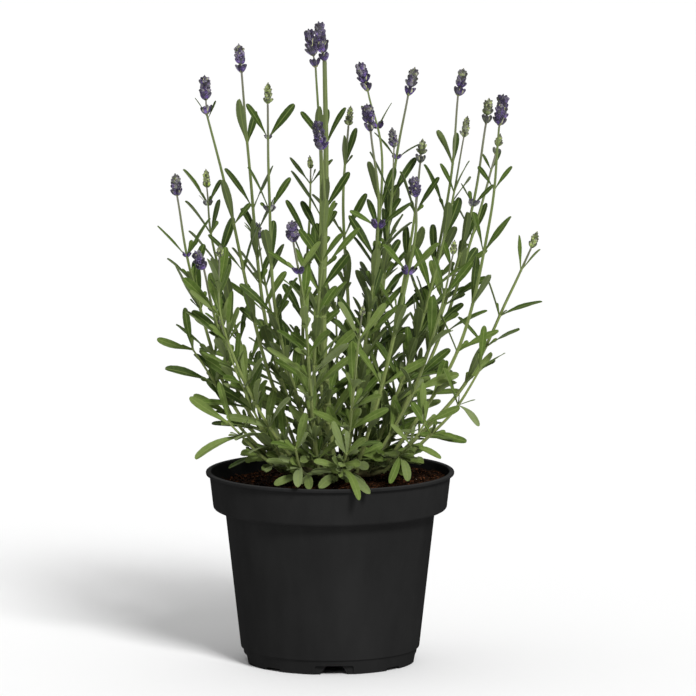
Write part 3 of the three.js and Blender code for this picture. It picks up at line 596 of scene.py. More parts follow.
bark, shader = new_material("young_bark", (0.11, 0.075, 0.04), 0.82, specular=0.25)
ridges = noise_of(bark, 520, 4, 0.65, stretch=(1, 1, 0.4))
flakes = noise_of(bark, 160, 3)
wood = ramp(bark, ridges, (0.3, (0.025, 0.016, 0.009)), (0.5, (0.065, 0.043, 0.022)),
            (0.72, (0.15, 0.11, 0.06)))
green_top = math_of(bark, "MULTIPLY", height_between(bark, 143.5, 150),
                    math_of(bark, "ADD", flakes, 0.35), clamp=True)
link(bark, mix(bark, green_top, wood, (0.085, 0.095, 0.03)), shader, "Base Color")
bump(bark, shader, ridges, 0.5 * mm, 0.6)
crown.data.materials.append(bark)
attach(crown, "root")
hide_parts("crown")


# ---- Shoots -------------------------------------------------------------------------------------------
# The shoots are soft square stems 2 to 3 mm thick, grey-green from a down of fine hair, with leaves in
# pairs, each pair at right angles to the next, and tufts of small leaves in their axils. A leaf is a
# narrow blade, 30 to 45 mm by 7 mm, blunt at the tip and folded along a sunk midrib.

STEM_LIFT = 2.1  # a stem starts this far above its foot, on top of its arm
STEM_STEPS = 36
LOWEST_PAIR = 158
FIRST_SPACING, LAST_SPACING = 40, 28  # between the leaf pairs, getting closer down the stem
TIP_FLOOR = 146.5  # leaf tips stay above this height, clear of the soil


def within(value, low=0, high=1):
    return min(high, max(low, value))


def stem_shape():
    """A square stem with slightly hollow sides, 2 across its corners and 1 high."""
    bpy.ops.mesh.primitive_cylinder_add(vertices=8, radius=1, depth=1, location=(0, 0, 0.5))
    stem = bpy.context.object
    bpy.ops.object.transform_apply()
    start_editing(stem)
    choose(stem, "verts", lambda vertex: min(abs(vertex.co.x), abs(vertex.co.y)) < 0.01)
    scale_by(0.74, 0.74, 1)
    choose(stem, "edges", lambda edge: abs(edge.verts[0].co.z - edge.verts[1].co.z) > 0.5)
    bpy.ops.mesh.subdivide(number_cuts=STEM_STEPS - 1)
    bpy.ops.object.mode_set(mode="OBJECT")
    return keep_shape(stem)


def leaf_shape(widths, rows, columns=4):
    """A flat blade, 1 long along Y and at most 1 to each side of its midrib, from the place and width of
    each row."""
    bpy.ops.mesh.primitive_grid_add(x_subdivisions=columns, y_subdivisions=rows, size=2)
    leaf = bpy.context.object
    start_editing(leaf)
    bpy.ops.mesh.select_all(action="SELECT")
    bpy.ops.transform.translate(value=(0, 1, 0))
    scale_by(1, 0.5, 1)
    choose(leaf, "verts", lambda vertex: abs(vertex.co.x) < 1e-4)
    bpy.ops.transform.translate(value=(0, 0, -0.05))
    bpy.ops.object.mode_set(mode="OBJECT")
    apply_modifier(leaf, "SOLIDIFY", thickness=0.14, offset=-1)
    start_editing(leaf)
    for row in range(rows + 1):
        place, width = widths[row]
        level = row / rows
        choose(leaf, "verts", lambda vertex: abs(vertex.co.y - level) < 1e-4)
        scale_by(width, 1, 1)
        bpy.ops.transform.translate(value=(0, place - level, 0))
    bpy.ops.object.mode_set(mode="OBJECT")
    return keep_shape(leaf)


long_leaf = leaf_shape([
    (0, 0.26), (0.15, 0.35), (0.31, 0.62), (0.47, 0.87), (0.62, 1.0), (0.77, 0.99), (0.895, 0.83),
    (0.956, 0.62), (0.987, 0.38), (1, 0.18)], 9)
narrow_leaf = leaf_shape([
    (0, 0.30), (0.14, 0.44), (0.30, 0.74), (0.46, 0.95), (0.60, 1.0), (0.75, 0.92), (0.87, 0.74),
    (0.945, 0.52), (0.985, 0.29), (1, 0.14)], 9)
small_leaf = leaf_shape([
    (0, 0.28), (0.25, 0.48), (0.50, 0.86), (0.72, 1.0), (0.87, 0.92), (0.962, 0.62), (1, 0.28)], 6, 2)
square_stem = stem_shape()
node_ring = keep_shape(turned("node_ring", [
    (0, -1), (0.9, -1), (1.12, -0.45), (1.3, 0.1), (1.2, 0.5), (0.9, 1), (0, 1)], 8))


def curve_through(points):
    """The place on a stem at t from 0 to 1: a curve through its four points, as in the frame's stems."""
    p = [Vector(point) for point in points]
    p[0].z += STEM_LIFT
    p = [2 * p[0] - p[1], *p, 2 * p[3] - p[2]]

    def at(t):
        piece = min(2, int(3 * t))
        u = 3 * t - piece
        a, b, c, d = p[piece:piece + 4]
        start, end = (c - a) / 2, (d - b) / 2
        return (b + start * u + (3 * (c - b) - 2 * start - end) * u**2
                + (2 * (b - c) + start + end) * u**3)

    return at


def along_of(curve, t):
    """The way in which the stem grows at t."""
    step = 1e-4
    return (curve(min(1, t + step)) - curve(max(0, t - step))).normalized()


def across_of(along):
    """Two ways that are square to a stem's own: to the right and to the back."""
    right = (Vector((1, 0, 0)) - along * along.x).normalized()
    return right, along.cross(right)


def place_at(curve, height):
    """Where the stem reaches a height, from 0 to 1."""
    low, high = 0, 1
    for _ in range(30):
        middle = (low + high) / 2
        if curve(middle).z < height:
            low = middle
        else:
            high = middle
    return (low + high) / 2


def unit_noise(n):
    """A number from 0 to 1 that is always the same for the same n, as in the frame's leaves."""
    value = math.sin(n * 12.9898) * 43758.5453
    return value - math.floor(value)


def leaf_choices(shoot, curve):
    """For each main leaf of a shoot: where it joins the stem, the tips it may have, its arch and the
    height of its pair."""
    for height, x, y, z, arch in shoot.leaves:
        shifts = (0, 4, -4, 8, -8, 12, -12)
        yield place_at(curve, height), [Vector((x, y + shift, z)) for shift in shifts], arch, height
    height = shoot.pair
    facing = shoot.facing
    number = 0
    while height > LOWEST_PAIR:
        down = (shoot.pair - height) / (shoot.pair - LOWEST_PAIR)
        place = place_at(curve, height)
        joint, along = curve(place), along_of(curve, place)
        right, behind = across_of(along)
        for side in (0, 180):
            number += 1
            chance = unit_noise(number + shoot.stem[3][0] * 0.37)
            length = (31 + 9 * math.sin(math.pi * (0.25 + 0.6 * down))) * (0.88 + 0.24 * chance)
            spread = math.radians(30 + 26 * down + 10 * (chance - 0.5))
            tips = []
            for turn in (0, 16, -16, 32, -32, 48, -48, 64, -64):
                angle = math.radians(facing + side + turn)
                tips.append(joint + along * length * math.cos(spread)
                            + right * length * math.sin(spread) * math.cos(angle)
                            + behind * length * math.sin(spread) * math.sin(angle)
                            - UP * length * 0.12 * down)
            yield place, tips, 2 + 3 * down, height
        height -= FIRST_SPACING + (LAST_SPACING - FIRST_SPACING) * down
        facing += 90


def lay_stem(curve, thick, thin, facing):
    """The square stem laid along a curve, with its sides turned to the leaf pairs."""
    points, faces = square_stem
    laid = np.empty_like(points)
    across = Vector((math.cos(facing), math.sin(facing), 0))
    levels = {}
    for number, (x, y, z) in enumerate(points):
        level = round(z * STEM_STEPS)
        if level not in levels:
            t = level / STEM_STEPS
            along = along_of(curve, t)
            side = (across - along * across.dot(along)).normalized()
            levels[level] = (curve(t), side, side.cross(along), thick + (thin - thick) * t)
        centre, side, out, size = levels[level]
        turn_x, turn_y = (x - y) * 0.7071, (x + y) * 0.7071
        laid[number] = centre + side * turn_x * size + out * turn_y * size
    return laid, faces


def lay_leaf(shape, joint, tip, along, arch, half_width, chance):
    """A leaf grown from a joint to its tip, folded, twisted and swayed a little by chance."""
    points, faces = shape
    joint, tip, along = np.array(joint), np.array(tip), np.array(along)
    reach = tip - joint
    length = np.linalg.norm(reach)
    out = reach - along * reach.dot(along)
    if np.linalg.norm(out) < 0.05 * length:
        out = np.array((0.3, -1, 0.2)) - along * along[1]
    out /= np.linalg.norm(out)
    across = np.cross(along, out)
    bend = (joint + tip) / 2 + (along + np.array(UP)) * arch / 2
    bend = bend + length * (across * chance.uniform(-0.05, 0.05) + out * chance.uniform(-0.04, 0.04))
    t = points[:, 1:2]
    spine = (1 - t) ** 2 * joint + 2 * t * (1 - t) * bend + t**2 * tip
    way = 2 * (1 - t) * (bend - joint) + 2 * t * (tip - bend)
    way /= np.linalg.norm(way, axis=1, keepdims=True)
    side = across - way * (way @ across)[:, None]
    side /= np.linalg.norm(side, axis=1, keepdims=True)
    above = np.cross(way, side)
    roll = chance.gauss(0, 0.16) + chance.gauss(0, 0.38) * t
    roll = roll + 0.6 * side[:, 1:2] * np.minimum(1, 2 * t)  # the face turns to the light in front
    turned_side = side * np.cos(roll) + above * np.sin(roll)
    turned_above = above * np.cos(roll) - side * np.sin(roll)
    fold = chance.uniform(0.15, 0.6)
    curl = chance.uniform(0.05, 0.28)
    x, z = points[:, 0:1], points[:, 2:3]
    ripple = 0.07 * np.sin(t * chance.uniform(5, 11) + chance.uniform(0, 6)) * np.sign(x)
    rise = (z + fold * np.abs(x) - curl * x**2 + ripple * np.abs(x)) * half_width
    return spine + turned_side * x * half_width + turned_above * rise, faces


def leaf_tint(shape, tone):
    """Red holds the leaf's tone, which carries painted light at the front and painted shade behind as
    well as its own tone, green how far a point lies from the midrib, blue how far along, and alpha that
    it is on the upper side."""
    points = shape[0]
    return tint_of(points, tone, np.abs(points[:, 0]), points[:, 1], points[:, 2] > -0.1)


def leaf_material():
    material, shader = new_material("downy_leaf", (0.1, 0.19, 0.05), 0.6, 0.14, 0.04, 0.45)
    tone, from_midrib, along, upper = tint_channels(material)
    mottle = noise_of(material, 420, 3)
    fine = noise_of(material, 2400, 2)
    mottling = math_of(material, "MULTIPLY", math_of(material, "SUBTRACT", mottle, 0.5), 0.5)
    tone = math_of(material, "ADD", tone, mottling, clamp=True)
    # The tone carries painted light at the front of the plant and painted shade behind, as well as the
    # leaf's own tone.
    green = ramp(material, tone, (0.0, (0.027, 0.050, 0.006)), (0.35, (0.071, 0.118, 0.017)),
                 (0.7, (0.133, 0.184, 0.043)), (1.0, (0.174, 0.216, 0.090)))
    green = mix(material, ramp(material, along, (0.0, 0.55), (0.2, 0)), green, (0.21, 0.27, 0.058))
    under = mix(material, 0.5, green, (0.165, 0.20, 0.085))
    green = mix(material, upper, under, green)
    vein = ramp(material, from_midrib, (0.0, 0.55), (0.16, 0))
    green = mix(material, vein, green, (0.22, 0.28, 0.075))
    edge = ramp(material, from_midrib, (0.8, 0), (1.0, 0.4))
    green = mix(material, edge, green, (0.175, 0.23, 0.065))
    link(material, green, shader, "Base Color")
    bump(material, shader, mix(material, 0.6, fine, mottle), 0.25 * mm, 0.4)
    return material


def stem_material():
    """Red is the stem's own tone, green that a point is off its corners, blue its height on the plant
    and alpha how near the head it is."""
    material, shader = new_material("downy_stem", (0.15, 0.2, 0.1), 0.66, 0.2, 0.1, 0.4)
    tone, side, height, near_head = tint_channels(material)
    streak = noise_of(material, 900, 3, stretch=(1, 1, 0.12))
    green = ramp(material, height, (0.0, (0.10, 0.10, 0.03)), (0.10, (0.29, 0.345, 0.10)),
                 (0.5, (0.175, 0.232, 0.065)), (1.0, (0.115, 0.152, 0.058)))
    green = mix(material, math_of(material, "MULTIPLY", tone, 0.45), green, (0.16, 0.19, 0.068))
    green = mix(material, ramp(material, streak, (0.35, 0), (0.7, 0.5)), green, (0.080, 0.112, 0.030))
    green = mix(material, math_of(material, "MULTIPLY", side, 0.35), green, (0.18, 0.22, 0.08))
    greyed = ramp(material, near_head, (0.75, 0), (1.0, 0.7))
    link(material, mix(material, greyed, green, (0.17, 0.15, 0.145)), shader, "Base Color")
    bump(material, shader, streak, 0.2 * mm, 0.4)
    return material


leaf_green, stem_green = leaf_material(), stem_material()
LEAF, STEM, FELT, BRACT = range(4)  # the numbers of a shoot's materials
crowding = np.full((30000, 3), 9e9)  # places along the leaves and stems so far, so that others keep off
crowd = 0


def remember(points):
    global crowd
    crowding[crowd:crowd + len(points)] = points
    crowd += len(points)


def spine_points(joint, tip, along, arch):
    """Four places along a leaf."""
    bend = (joint + tip) / 2 + (along + UP) * arch / 2
    return np.array([
        (1 - t) ** 2 * joint + 2 * t * (1 - t) * bend + t**2 * tip for t in (0.35, 0.55, 0.75, 0.95)])


def room_for(points):
    """How far the nearest thing is from a few points."""
    return np.linalg.norm(crowding[None, :crowd] - points[:, None], axis=2).min()


def reach_within(tip):
    """Keeps a tip that the frame doesn't give inside the frame's own box, and off the soil."""
    low, high = np.array(cad_box) / mm
    tip = Vector(np.clip(np.array(tip), low, high))
    tip.z = max(tip.z, TIP_FLOOR)
    return tip


def stem_radii(shoot):
    """Half of a stem's width across its corners, at its foot and at its top."""
    if shoot.name == "05":  # the tallest shoot, with the stoutest stem
        return 2.8, 1.65
    return 1.65, 0.6 if shoot.head.kind == "bud" else 0.8


def level_of(points):
    """How high points are on the plant, from 0 at the pot's lip to 1 at the top of the tallest stems."""
    return (points[:, 2] - LIP_HEIGHT) / 330


def shoot_copies(shoot, curve, node, chance):
    """The stem of a shoot, and its main leaves by height: where each joins the stem, its tip and its
    arch. The tip is the one that the frame's shoot reaches, or else the leaf's first choice."""
    points, faces = lay_stem(curve, *stem_radii(shoot), math.radians(shoot.facing))
    side = np.array([abs(abs(x) - abs(y)) <= 0.5 for x, y, _ in square_stem[0]])
    greying = 1 if 0 < shoot.head.length < 17 else 0.8
    tint = tint_of(points, chance.random(), side, level_of(points), square_stem[0][:, 2] * greying)
    copies = [(points, faces, tint, STEM)]
    remember(np.array([curve(t / 30) for t in range(31)]))
    tree = kdtree.KDTree(len(node.data.vertices))
    for number, vertex in enumerate(node.data.vertices):
        tree.insert(vertex.co / mm, number)
    tree.balance()
    joints = {}
    for place, tips, arch, height in leaf_choices(shoot, curve):
        found = [tip for tip in tips if tree.find(tip)[2] < 0.05]
        tip = found[0] if found else tips[0]
        joints.setdefault(round(height), []).append((place, tip, arch))
    return copies, joints


def add_leaf(copies, shape, curve, place, tip, arch, half_width, chance, tone):
    joint, along = curve(place), along_of(curve, place)
    points, faces = lay_leaf(shape, joint, tip, along, arch, half_width, chance)
    copies.append((points, faces, leaf_tint(shape, tone), LEAF))
    remember(spine_points(joint, tip, along, arch))


def tone_and_light_at(tip, chance):
    """Leaves are brighter low down and darker higher up, with a random tone of their own; they are also
    painted brighter at the front, where the key light falls, and darker behind, as painted shade.
    """
    # painted light at the front of the plant and painted shade behind it
    front = within(0.5 - tip.y / 160)
    high = within((tip.z - 160) / 260)
    return within(0.33 + 0.48 * front - 0.66 * high + chance.gauss(0, 0.2))


# Shoots at the sides, which have little between their pairs.
SPARSE = ("20", "21", "right_upper", "left_upper", "left_lower", "18", "19", "14", "01")


def pairs_between(shoot, curve, copies, joints, chance):
    """The leaf pairs that the frame leaves out: halfway up the long gaps between the main ones, and fewer
    the higher the gap is. Each leaf takes the turn about the stem that leaves it the most room."""
    levels = [curve(0).z + 6, *sorted(joints)]
    for low, high in zip(levels[:-1], levels[1:]):
        if (high - low < 22 or low > 305 or chance.random() < (low - 150) / 400
                or shoot.name in SPARSE):
            continue
        middle = (low + high) / 2 + chance.uniform(-2, 2)
        place = place_at(curve, middle)
        joint, along = curve(place), along_of(curve, place)
        right, behind = across_of(along)
        base = math.radians(chance.uniform(0, 180))
        down = within((330 - middle) / 170)
        for side in (0, math.pi):
            length = chance.uniform(25, 36) + 4 * down
            best = None
            for turn in (0, 0.35, -0.35, 0.7, -0.7):
                spread = math.radians(24 + 18 * down + chance.uniform(-7, 7))
                angle = base + side + turn
                out = right * math.cos(angle) + behind * math.sin(angle)
                tip = reach_within(
                    joint + along * length * math.cos(spread) + out * length * math.sin(spread))
                free = room_for(spine_points(joint, tip, along, 3)[1:])
                if best is None or free > best[0]:
                    best = free, tip
            joints.setdefault(round(middle), []).append((place, best[1], 3))
            add_leaf(copies, long_leaf, curve, place, best[1], 3, chance.uniform(2.7, 3.4), chance,
                     tone_and_light_at(best[1], chance))


def axil_tufts(shoot, curve, copies, joints, chance):
    """Up to three small leaves in the axil of each leaf, more and longer ones low on the plant."""
    for height in sorted(joints):
        busy = within((372 - height) / 130) * (0.4 if shoot.name in SPARSE else 1)
        for place, tip, arch in joints[height]:
            joint, along = curve(place), along_of(curve, place)
            out = tip - joint
            out -= along * out.dot(along)
            if out.length < 1 or place > 0.985:
                continue
            out.normalize()
            aside = along.cross(out)
            for number in range(3):
                if chance.random() > busy * (0.95, 0.75, 0.5)[number]:
                    continue
                length = chance.uniform(7, 12) + 10 * busy * chance.random()
                way = (along * chance.uniform(0.8, 1.2) + out * chance.uniform(0.35, 0.9)
                       + aside * chance.uniform(-0.55, 0.55)).normalized()
                small_tip = reach_within(joint + way * length)
                add_leaf(copies, small_leaf, curve, place, small_tip, 0.8, 1.0 + length * 0.062, chance,
                         within(tone_and_light_at(small_tip, chance) + 0.16))


def foot_leaves(curve, copies, chance):
    """The short blunt leaves that crowd the foot of a shoot and spread over the soil."""
    for number in range(6):
        place = place_at(curve, curve(0).z + chance.uniform(1, 15))
        joint, along = curve(place), along_of(curve, place)
        outward = Vector((joint.x, joint.y, 0)).normalized()
        turn, lift, length = chance.gauss(0, 0.8), chance.uniform(-0.2, 0.6), chance.uniform(9, 20)
        tip = joint + length * (
            (outward * math.cos(turn) + outward.cross(UP) * math.sin(turn)) * math.cos(lift)
            + UP * math.sin(lift))
        tip.z = max(tip.z, soil_height(tip.x, tip.y) + 2.5)
        if tip.xy.length > 84 and tip.z < 150:
            continue
        add_leaf(copies, small_leaf, curve, place, tip, chance.uniform(1, 4), 1.5 + 0.1 * length, chance,
                 within(tone_and_light_at(tip, chance) + 0.1))


def node_rings(shoot, curve, joints, copies):
    """The low ring round the stem at each leaf pair."""
    points, faces = node_ring
    base, top = stem_radii(shoot)
    for leaves in joints.values():
        place = leaves[0][0]
        turn = np.array(along_of(curve, place).to_track_quat("Z", "Y").to_matrix())
        size = (base + (top - base) * place) * 0.86
        laid = points / mm * np.array((size, size, 1.5)) @ turn.T + np.array(curve(place))
        copies.append((laid, faces, tint_of(laid, 0.7, 0.6, level_of(laid), place * 0.8), STEM))


grown = {}
for shoot in SHOOTS:
    kind = "shoot" if shoot.head.kind == "spike" else "sprig"
    node = f"{kind}_{shoot.name}"
    chance = random.Random(f"leaves of {node}")
    curve = curve_through(shoot.stem)
    copies, joints = shoot_copies(shoot, curve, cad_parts[node], chance)
    for height in sorted(joints):
        for place, tip, arch in joints[height]:
            length = (tip - curve(place)).length
            half_width = 3.4 * within(length / 36, 0.5) * chance.uniform(0.85, 1.1)
            shape = long_leaf if chance.random() < 1.55 - height / 500 else narrow_leaf
            add_leaf(copies, shape, curve, place, tip, arch, half_width, chance, tone_and_light_at(tip, chance))
    grown[node] = shoot, curve, copies, joints, chance
for node, (shoot, curve, copies, joints, chance) in grown.items():
    pairs_between(shoot, curve, copies, joints, chance)
    axil_tufts(shoot, curve, copies, joints, chance)
    foot_leaves(curve, copies, chance)
    node_rings(shoot, curve, joints, copies)


# ---- Flower spikes ------------------------------------------------------------------------------------
# A spike is 10 to 24 mm long: four to six whorls, each of six to eight ribbed calyces 5 mm long over two
# pointed bracts, and often one whorl apart below. Felted violet with near-black tips where it is in bud
# colour, green where it is young. The leafy shoots end in a small head of the same kind.

calyx_shape = keep_shape(turned("calyx", [
    (0, 0), (0.42, 0.02), (0.78, 0.14), (0.98, 0.36), (1.0, 0.58), (0.84, 0.78), (0.74, 0.86),
    (0.50, 0.98), (0, 1.04)], 8))
for number, (x, y, z) in enumerate(calyx_shape[0] / mm):
    if abs(abs(x) - abs(y)) > 0.05 and z < 0.87:  # every second rib stands lower
        calyx_shape[0][number] *= (0.88, 0.88, 1)
calyx_shape = calyx_shape[0] / mm, calyx_shape[1]
bract_shape = leaf_shape([(0, 0.5), (0.25, 0.92), (0.5, 1.0), (0.78, 0.55), (1, 0.06)], 4, 4)


def flower_material(name, base, body, tip, bloom):
    """Felt over a calyx: red is its own tone, green how far along it, blue how ripe it is."""
    material, shader = new_material(name, body, 0.75, specular=0.2, sheen=0.1)
    shader.inputs["Sheen Tint"].default_value = (0.8, 0.75, 1.0, 1)
    tone, along, ripe, _ = tint_channels(material)
    felt = noise_of(material, 1700, 3)
    color = ramp(material, along, (0.0, base), (0.28, body), (0.55, body), (0.78, tip))
    green = ramp(material, along, (0.0, (0.15, 0.21, 0.045)), (0.6, (0.24, 0.31, 0.07)),
                 (0.9, (0.11, 0.11, 0.08)))
    color = mix(material, ripe, green, color)
    color = mix(material, ramp(material, felt, (0.5, 0), (0.68, 0.75)), color, bloom)
    shade = ramp(material, tone, (0.0, (0.38, 0.4, 0.3)), (0.3, 0.52), (0.6, 1), (1.0, (2.1, 2.1, 1.9)))
    link(material, mix(material, 1.0, color, shade, "MULTIPLY"), shader, "Base Color")
    bump(material, shader, felt, 0.2 * mm, 0.6)
    return material


violet = flower_material("violet_felt", (0.16, 0.17, 0.11), (0.080, 0.044, 0.200), (0.012, 0.008, 0.030),
                         (0.31, 0.25, 0.42))
grey_green = flower_material("green_felt", (0.17, 0.22, 0.09), (0.16, 0.16, 0.17), (0.05, 0.035, 0.09),
                             (0.36, 0.42, 0.19))

papery, shader = new_material("papery_bract", (0.2, 0.2, 0.07), 0.7, specular=0.5, sheen=0.1)
tone, *_ = tint_channels(papery)
olive = ramp(papery, tone, (0.0, (0.11, 0.10, 0.075)), (0.5, (0.21, 0.23, 0.075)),
             (0.98, (0.29, 0.37, 0.10)), (1.0, (0.46, 0.48, 0.27)))
veins = noise_of(papery, 1300, 3)
olive = mix(papery, ramp(papery, veins, (0.4, 0), (0.7, 0.5)), olive, (0.13, 0.10, 0.09))
link(papery, olive, shader, "Base Color")
bump(papery, shader, veins, 0.15 * mm, 0.4)

RIPENESS = {  # how violet each head is from its foot to its top; the others are violet to near the top
    "03": (0.25, 0.0), "08": (0.35, 0.0), "13": (0.5, 0.15), "17": (0.45, 0.05), "19": (0.3, 0.1),
    "20": (0.1, 0.0), "07": (0.1, 0.0), "12": (0.7, 0.5), "16": (0.5, 0.3), "21": (0.2, 0.0),
    "23": (0.1, 0.0), "26": (0.15, 0.0), "27": (0.9, 0.8), "29": (0.2, 0.0), "34": (0.3, 0.1),
    "15": (0.9, 0.1), "22": (1.0, 0.3), "11": (0.8, 0.15), "02": (1.0, 0.3),
}


def point_along(way, turn=0.0):
    """Turns +Z to a way, with a turn about it first."""
    return np.array((way.to_track_quat("Z", "Y") @ Quaternion((0, 0, 1), turn)).to_matrix())


def add_calyx(copies, foot, way, length, girth, tone, ripe, chance, slot):
    """A calyx that stands on its foot and points a way."""
    points, faces = calyx_shape
    size = np.array((girth, girth, length))
    laid = (points * size) @ point_along(way, chance.uniform(0, 6.3)).T + np.array(foot)
    copies.append((laid, faces, tint_of(points, tone, points[:, 2], ripe), slot))


def add_bract(copies, foot, way, inward, length, half_width, tone, slot):
    """A bract that grows from its foot, cupped round the calyces above it."""
    points, faces = bract_shape
    y, x = points[:, 1:2], points[:, 0:1]
    across = np.array(way.cross(inward).normalized())
    inward = np.array(inward)
    rise = 0.35 * y**2 * length + 0.35 * np.abs(x) ** 2 * half_width * (1 - y * 0.4)
    laid = (np.array(foot) + np.array(way) * y * length + across * x * half_width
            + inward * (rise + points[:, 2:3] * half_width * 0.6))
    copies.append((laid, faces, tint_of(points, tone), slot))


def add_whorl(copies, level, radius, spread, count, ripe, start, longest, bracts, chance, slots):
    """A whorl of calyces round an upright stalk at a level, to a radius, and any two bracts below it."""
    calyx_slot, bract_slot = slots
    length = min(longest, (radius - 0.9) / math.sin(spread))
    girth = within(0.28 * length, 0.75, 1.6)
    for number in range(count):
        angle = start + 2 * math.pi * (number + chance.uniform(-0.2, 0.2)) / count
        tilt = spread * chance.uniform(0.78, 1.18)
        out = Vector((math.cos(angle), math.sin(angle), 0))
        way = out * math.sin(tilt) + UP * math.cos(tilt)
        foot = out * 0.55 + UP * (level + chance.uniform(-0.35, 0.35))
        add_calyx(copies, foot, way, length * chance.uniform(0.86, 1.06),
                  girth * chance.uniform(0.9, 1.06), chance.random(),
                  within(ripe + chance.uniform(-0.3, 0.3)), chance, calyx_slot)
        if chance.random() < 0.4:  # the pale corner of a bract between the calyces
            side = out.cross(UP) * girth * chance.choice((-0.8, 0.8))
            add_bract(copies, foot + way * length * 0.25 + out * girth * 0.5 + side, way,
                      (UP - way * way.z).normalized(), length * 0.48, length * 0.18, 1, bract_slot)
    for side in (0, math.pi) if bracts else ():
        out = Vector((math.cos(start + side), math.sin(start + side), 0))
        way = (out * math.sin(spread * 1.15) + UP * math.cos(spread * 1.15)).normalized()
        tone = chance.uniform(0.35, 0.8) if ripe > 0.5 else chance.uniform(0.75, 1)
        add_bract(copies, out * 0.7 + UP * (level - 0.7), way, (UP - way * way.z).normalized(),
                  length * 0.78, length * 0.36, tone, bract_slot)


def head_copies(head, ripeness, chance, slots, stem_slot):
    """A head on its short stalk, standing on the origin, in millimetres."""
    copies = []
    foot = max(6.6, head.lower_gap + 1) if head.lower_gap else 0.8
    length = head.length - (1.2 if head.lower_gap else 0)
    radius = head.radius * 1.22
    points, faces = square_stem
    size = np.array((0.85, 0.85, foot + length * 0.8))
    laid = points * size - np.array((0, 0, 1.2))
    copies.append((laid, faces, tint_of(points, 0.4, 0.2, 0.9), stem_slot))
    start = chance.uniform(0, math.pi)
    if head.lower_gap:
        add_whorl(copies, 0.2, radius, 0.56, 6, within(ripeness[0] + 0.5), start, 6.9, True, chance,
                  slots)
        start += math.pi / 2
    whorls = max(2, round(length / 4.9))
    step = (length - 4.2) / (whorls - 0.3)
    for number in range(whorls):
        up = number / whorls
        size = 1 - 0.3 * up**3
        count = 8 if radius > 4.4 else 6
        ripe = ripeness[0] + (ripeness[1] - ripeness[0]) * up
        add_whorl(copies, foot + step * number, max(1.9, radius * size), 0.72 - 0.12 * up, count, ripe,
                  start, 1.14 * radius - 1.2 * up, True, chance, slots)
        add_whorl(copies, foot + step * (number + 0.5), max(1.7, radius * size * 0.9), 0.56, 6, ripe,
                  start + 0.5, 1.04 * radius - 1.3 * up, False, chance, slots)
        start += math.pi / 2 + math.pi / count
    for number in range(5):
        angle = start + number * 2 * math.pi / 5
        tilt, reach = ((0.34, 3.4), (0.12, 3.9))[number % 2]
        way = (Vector((math.cos(angle), math.sin(angle), 0)) * tilt + UP).normalized()
        add_calyx(copies, UP * (foot + length - 4), way, reach, min(1.15, radius * 0.27),
                  chance.random(), within(ripeness[1] + chance.uniform(-0.3, 0.3)), chance, slots[0])
    add_calyx(copies, UP * (foot + length - 3.6), UP, 4.3, min(0.8, radius * 0.2), chance.random(),
              ripeness[1], chance, slots[0])
    return copies


def set_head(copies, place, along, lean, target):
    """Adds the copies of a head at its place: it leans to the side by its own angle, and else grows on
    with the stem."""
    way = Vector((math.tan(math.radians(lean)), along.y / along.z, 1)).normalized()
    turn = np.array(UP.rotation_difference(way).to_matrix())
    for points, faces, tint, slot in copies:
        target.append((points @ turn.T + np.array(place), faces, tint, slot))


def axil_buds(copies, curve, height, size, chance):
    """A pair of young side heads, still closed, in the axils of one leaf pair."""
    place = place_at(curve, height)
    joint, along = curve(place), along_of(curve, place)
    for side in (-1, 1):
        out = Vector((side, chance.uniform(-0.6, 0), 0)).normalized()
        for number in range(5):
            tilt = 0.3 + 0.11 * number
            way = (along * math.cos(tilt) + out * math.sin(tilt)
                   + along.cross(out) * chance.uniform(-0.35, 0.35)).normalized()
            add_calyx(copies, joint + out * 0.9, way, size * chance.uniform(0.7, 1.1), size * 0.22,
                      chance.random(), 1, chance, FELT)


for node, height, size in (
    ("shoot_03", 349, 6), ("shoot_03", 405, 3.4), ("shoot_22", 313, 4.5), ("sprig_23", 343, 5),
    ("shoot_28", 313, 6.5), ("shoot_10", 333, 8), ("shoot_14", 306, 7.5), ("shoot_09", 404, 7),
    ("shoot_25", 276, 4.5), ("shoot_17", 348, 6), ("shoot_11", 378, 4.5),
):
    _, curve, copies, _, chance = grown[node]
    axil_buds(copies, curve, height, size, chance)

for node, (shoot, curve, copies, joints, chance) in grown.items():
    name, head = shoot.name, shoot.head
    along = along_of(curve, 1)
    ripeness = RIPENESS.get(name, (1, 0.75))
    felt = violet if ripeness[0] > 0.6 else grey_green
    if head.kind == "spike":
        spike = []
        flowers = head_copies(head, ripeness, random.Random(f"flowers of {name}"), (0, 1), 2)
        set_head(flowers, curve(1) + along * 0.7, along, head.lean, spike)
        piece = piece_from(f"flower_spike_{name}", [(p * mm, *rest) for p, *rest in spike],
                           [felt, papery, stem_green])
        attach(piece, "root")
        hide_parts(f"spike_{name}")
    elif head.kind == "bud":
        flowers = head_copies(head, ripeness, chance, (FELT, BRACT), STEM)
        set_head(flowers, curve(1) - along * 0.6, along, head.lean, copies)
    piece = piece_from(f"grown_{node}", [(p * mm, *rest) for p, *rest in copies],
                       [leaf_green, stem_green, felt, papery])
    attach(piece, "root")
    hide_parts(node)


# ---- Studio -------------------------------------------------------------------------------------------
# A plain pale floor under soft light: a broad key from the upper right in front, and a dim surround.

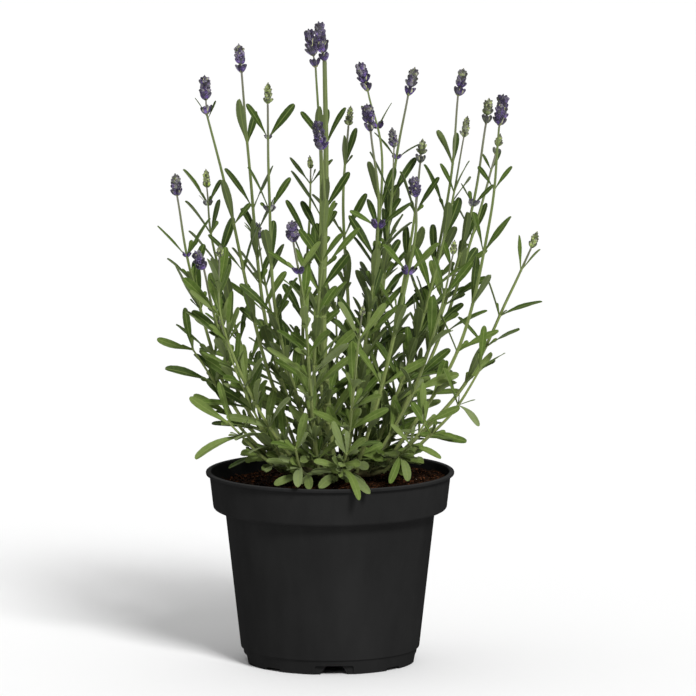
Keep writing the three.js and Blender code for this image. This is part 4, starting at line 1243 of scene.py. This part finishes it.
LEVEL_REACH, RING_WIDTH, FLOOR_RISE = 9, 13 / 8, 1.2  # level near the pot, and rising further out
bpy.ops.mesh.primitive_circle_add(vertices=96, radius=LEVEL_REACH + 8 * RING_WIDTH)
floor = bpy.context.object
floor.name = "studio_floor"
start_editing(floor)
bpy.ops.mesh.select_all(action="SELECT")
bpy.ops.transform.translate(value=(0, 0, FLOOR_RISE))
for ring in range(7, -1, -1):
    reach = LEVEL_REACH + RING_WIDTH * ring
    extrude_up(-FLOOR_RISE / 64 * (2 * ring + 1))
    scale_by(reach / (reach + RING_WIDTH), reach / (reach + RING_WIDTH), 1)
bpy.ops.mesh.edge_face_add()
bpy.ops.mesh.select_all(action="SELECT")
bpy.ops.mesh.normals_make_consistent(inside=True)
bpy.ops.object.mode_set(mode="OBJECT")
bpy.ops.object.shade_smooth()
floor_white, shader = new_material("pale_floor", (0.86, 0.86, 0.86), 0.9, specular=0.1)
floor.data.materials.append(floor_white)

for name, way, strength, angle in (
    ("key", (0.45, -1.0, 0.95), 3.05, 16), ("fill", (-1.0, -0.8, 0.7), 0.35, 90),
    ("top", (0.1, 0.4, 1.0), 0.8, 120), ("back", (-0.4, 1.0, 0.5), 0.6, 120),
):
    light = bpy.data.lights.new(name, "SUN")
    light.energy = strength
    light.angle = math.radians(angle)
    lamp = bpy.data.objects.new(name, light)
    lamp.rotation_euler = Vector(way).to_track_quat("Z", "Y").to_euler()
    bpy.context.scene.collection.objects.link(lamp)

world = bpy.data.worlds.new("studio")
bpy.context.scene.world = world
world.use_nodes = True
surround = world.node_tree.nodes["Background"]
surround.inputs["Color"].default_value = (1, 1, 1, 1)
surround.inputs["Strength"].default_value = 0.16
bpy.context.scene.view_settings.view_transform = "Standard"

eye, target = Vector((0.0137, -5.941, 1.0816)), Vector((0.0137, 0, 0.2416))
lens = bpy.data.cameras.new("camera")
lens.lens = 406.7
lens.sensor_width = 36
camera = bpy.data.objects.new("camera", lens)
camera.location = eye
camera.rotation_euler = (target - eye).to_track_quat("-Z", "Y").to_euler()
bpy.context.scene.collection.objects.link(camera)
bpy.context.scene.camera = camera
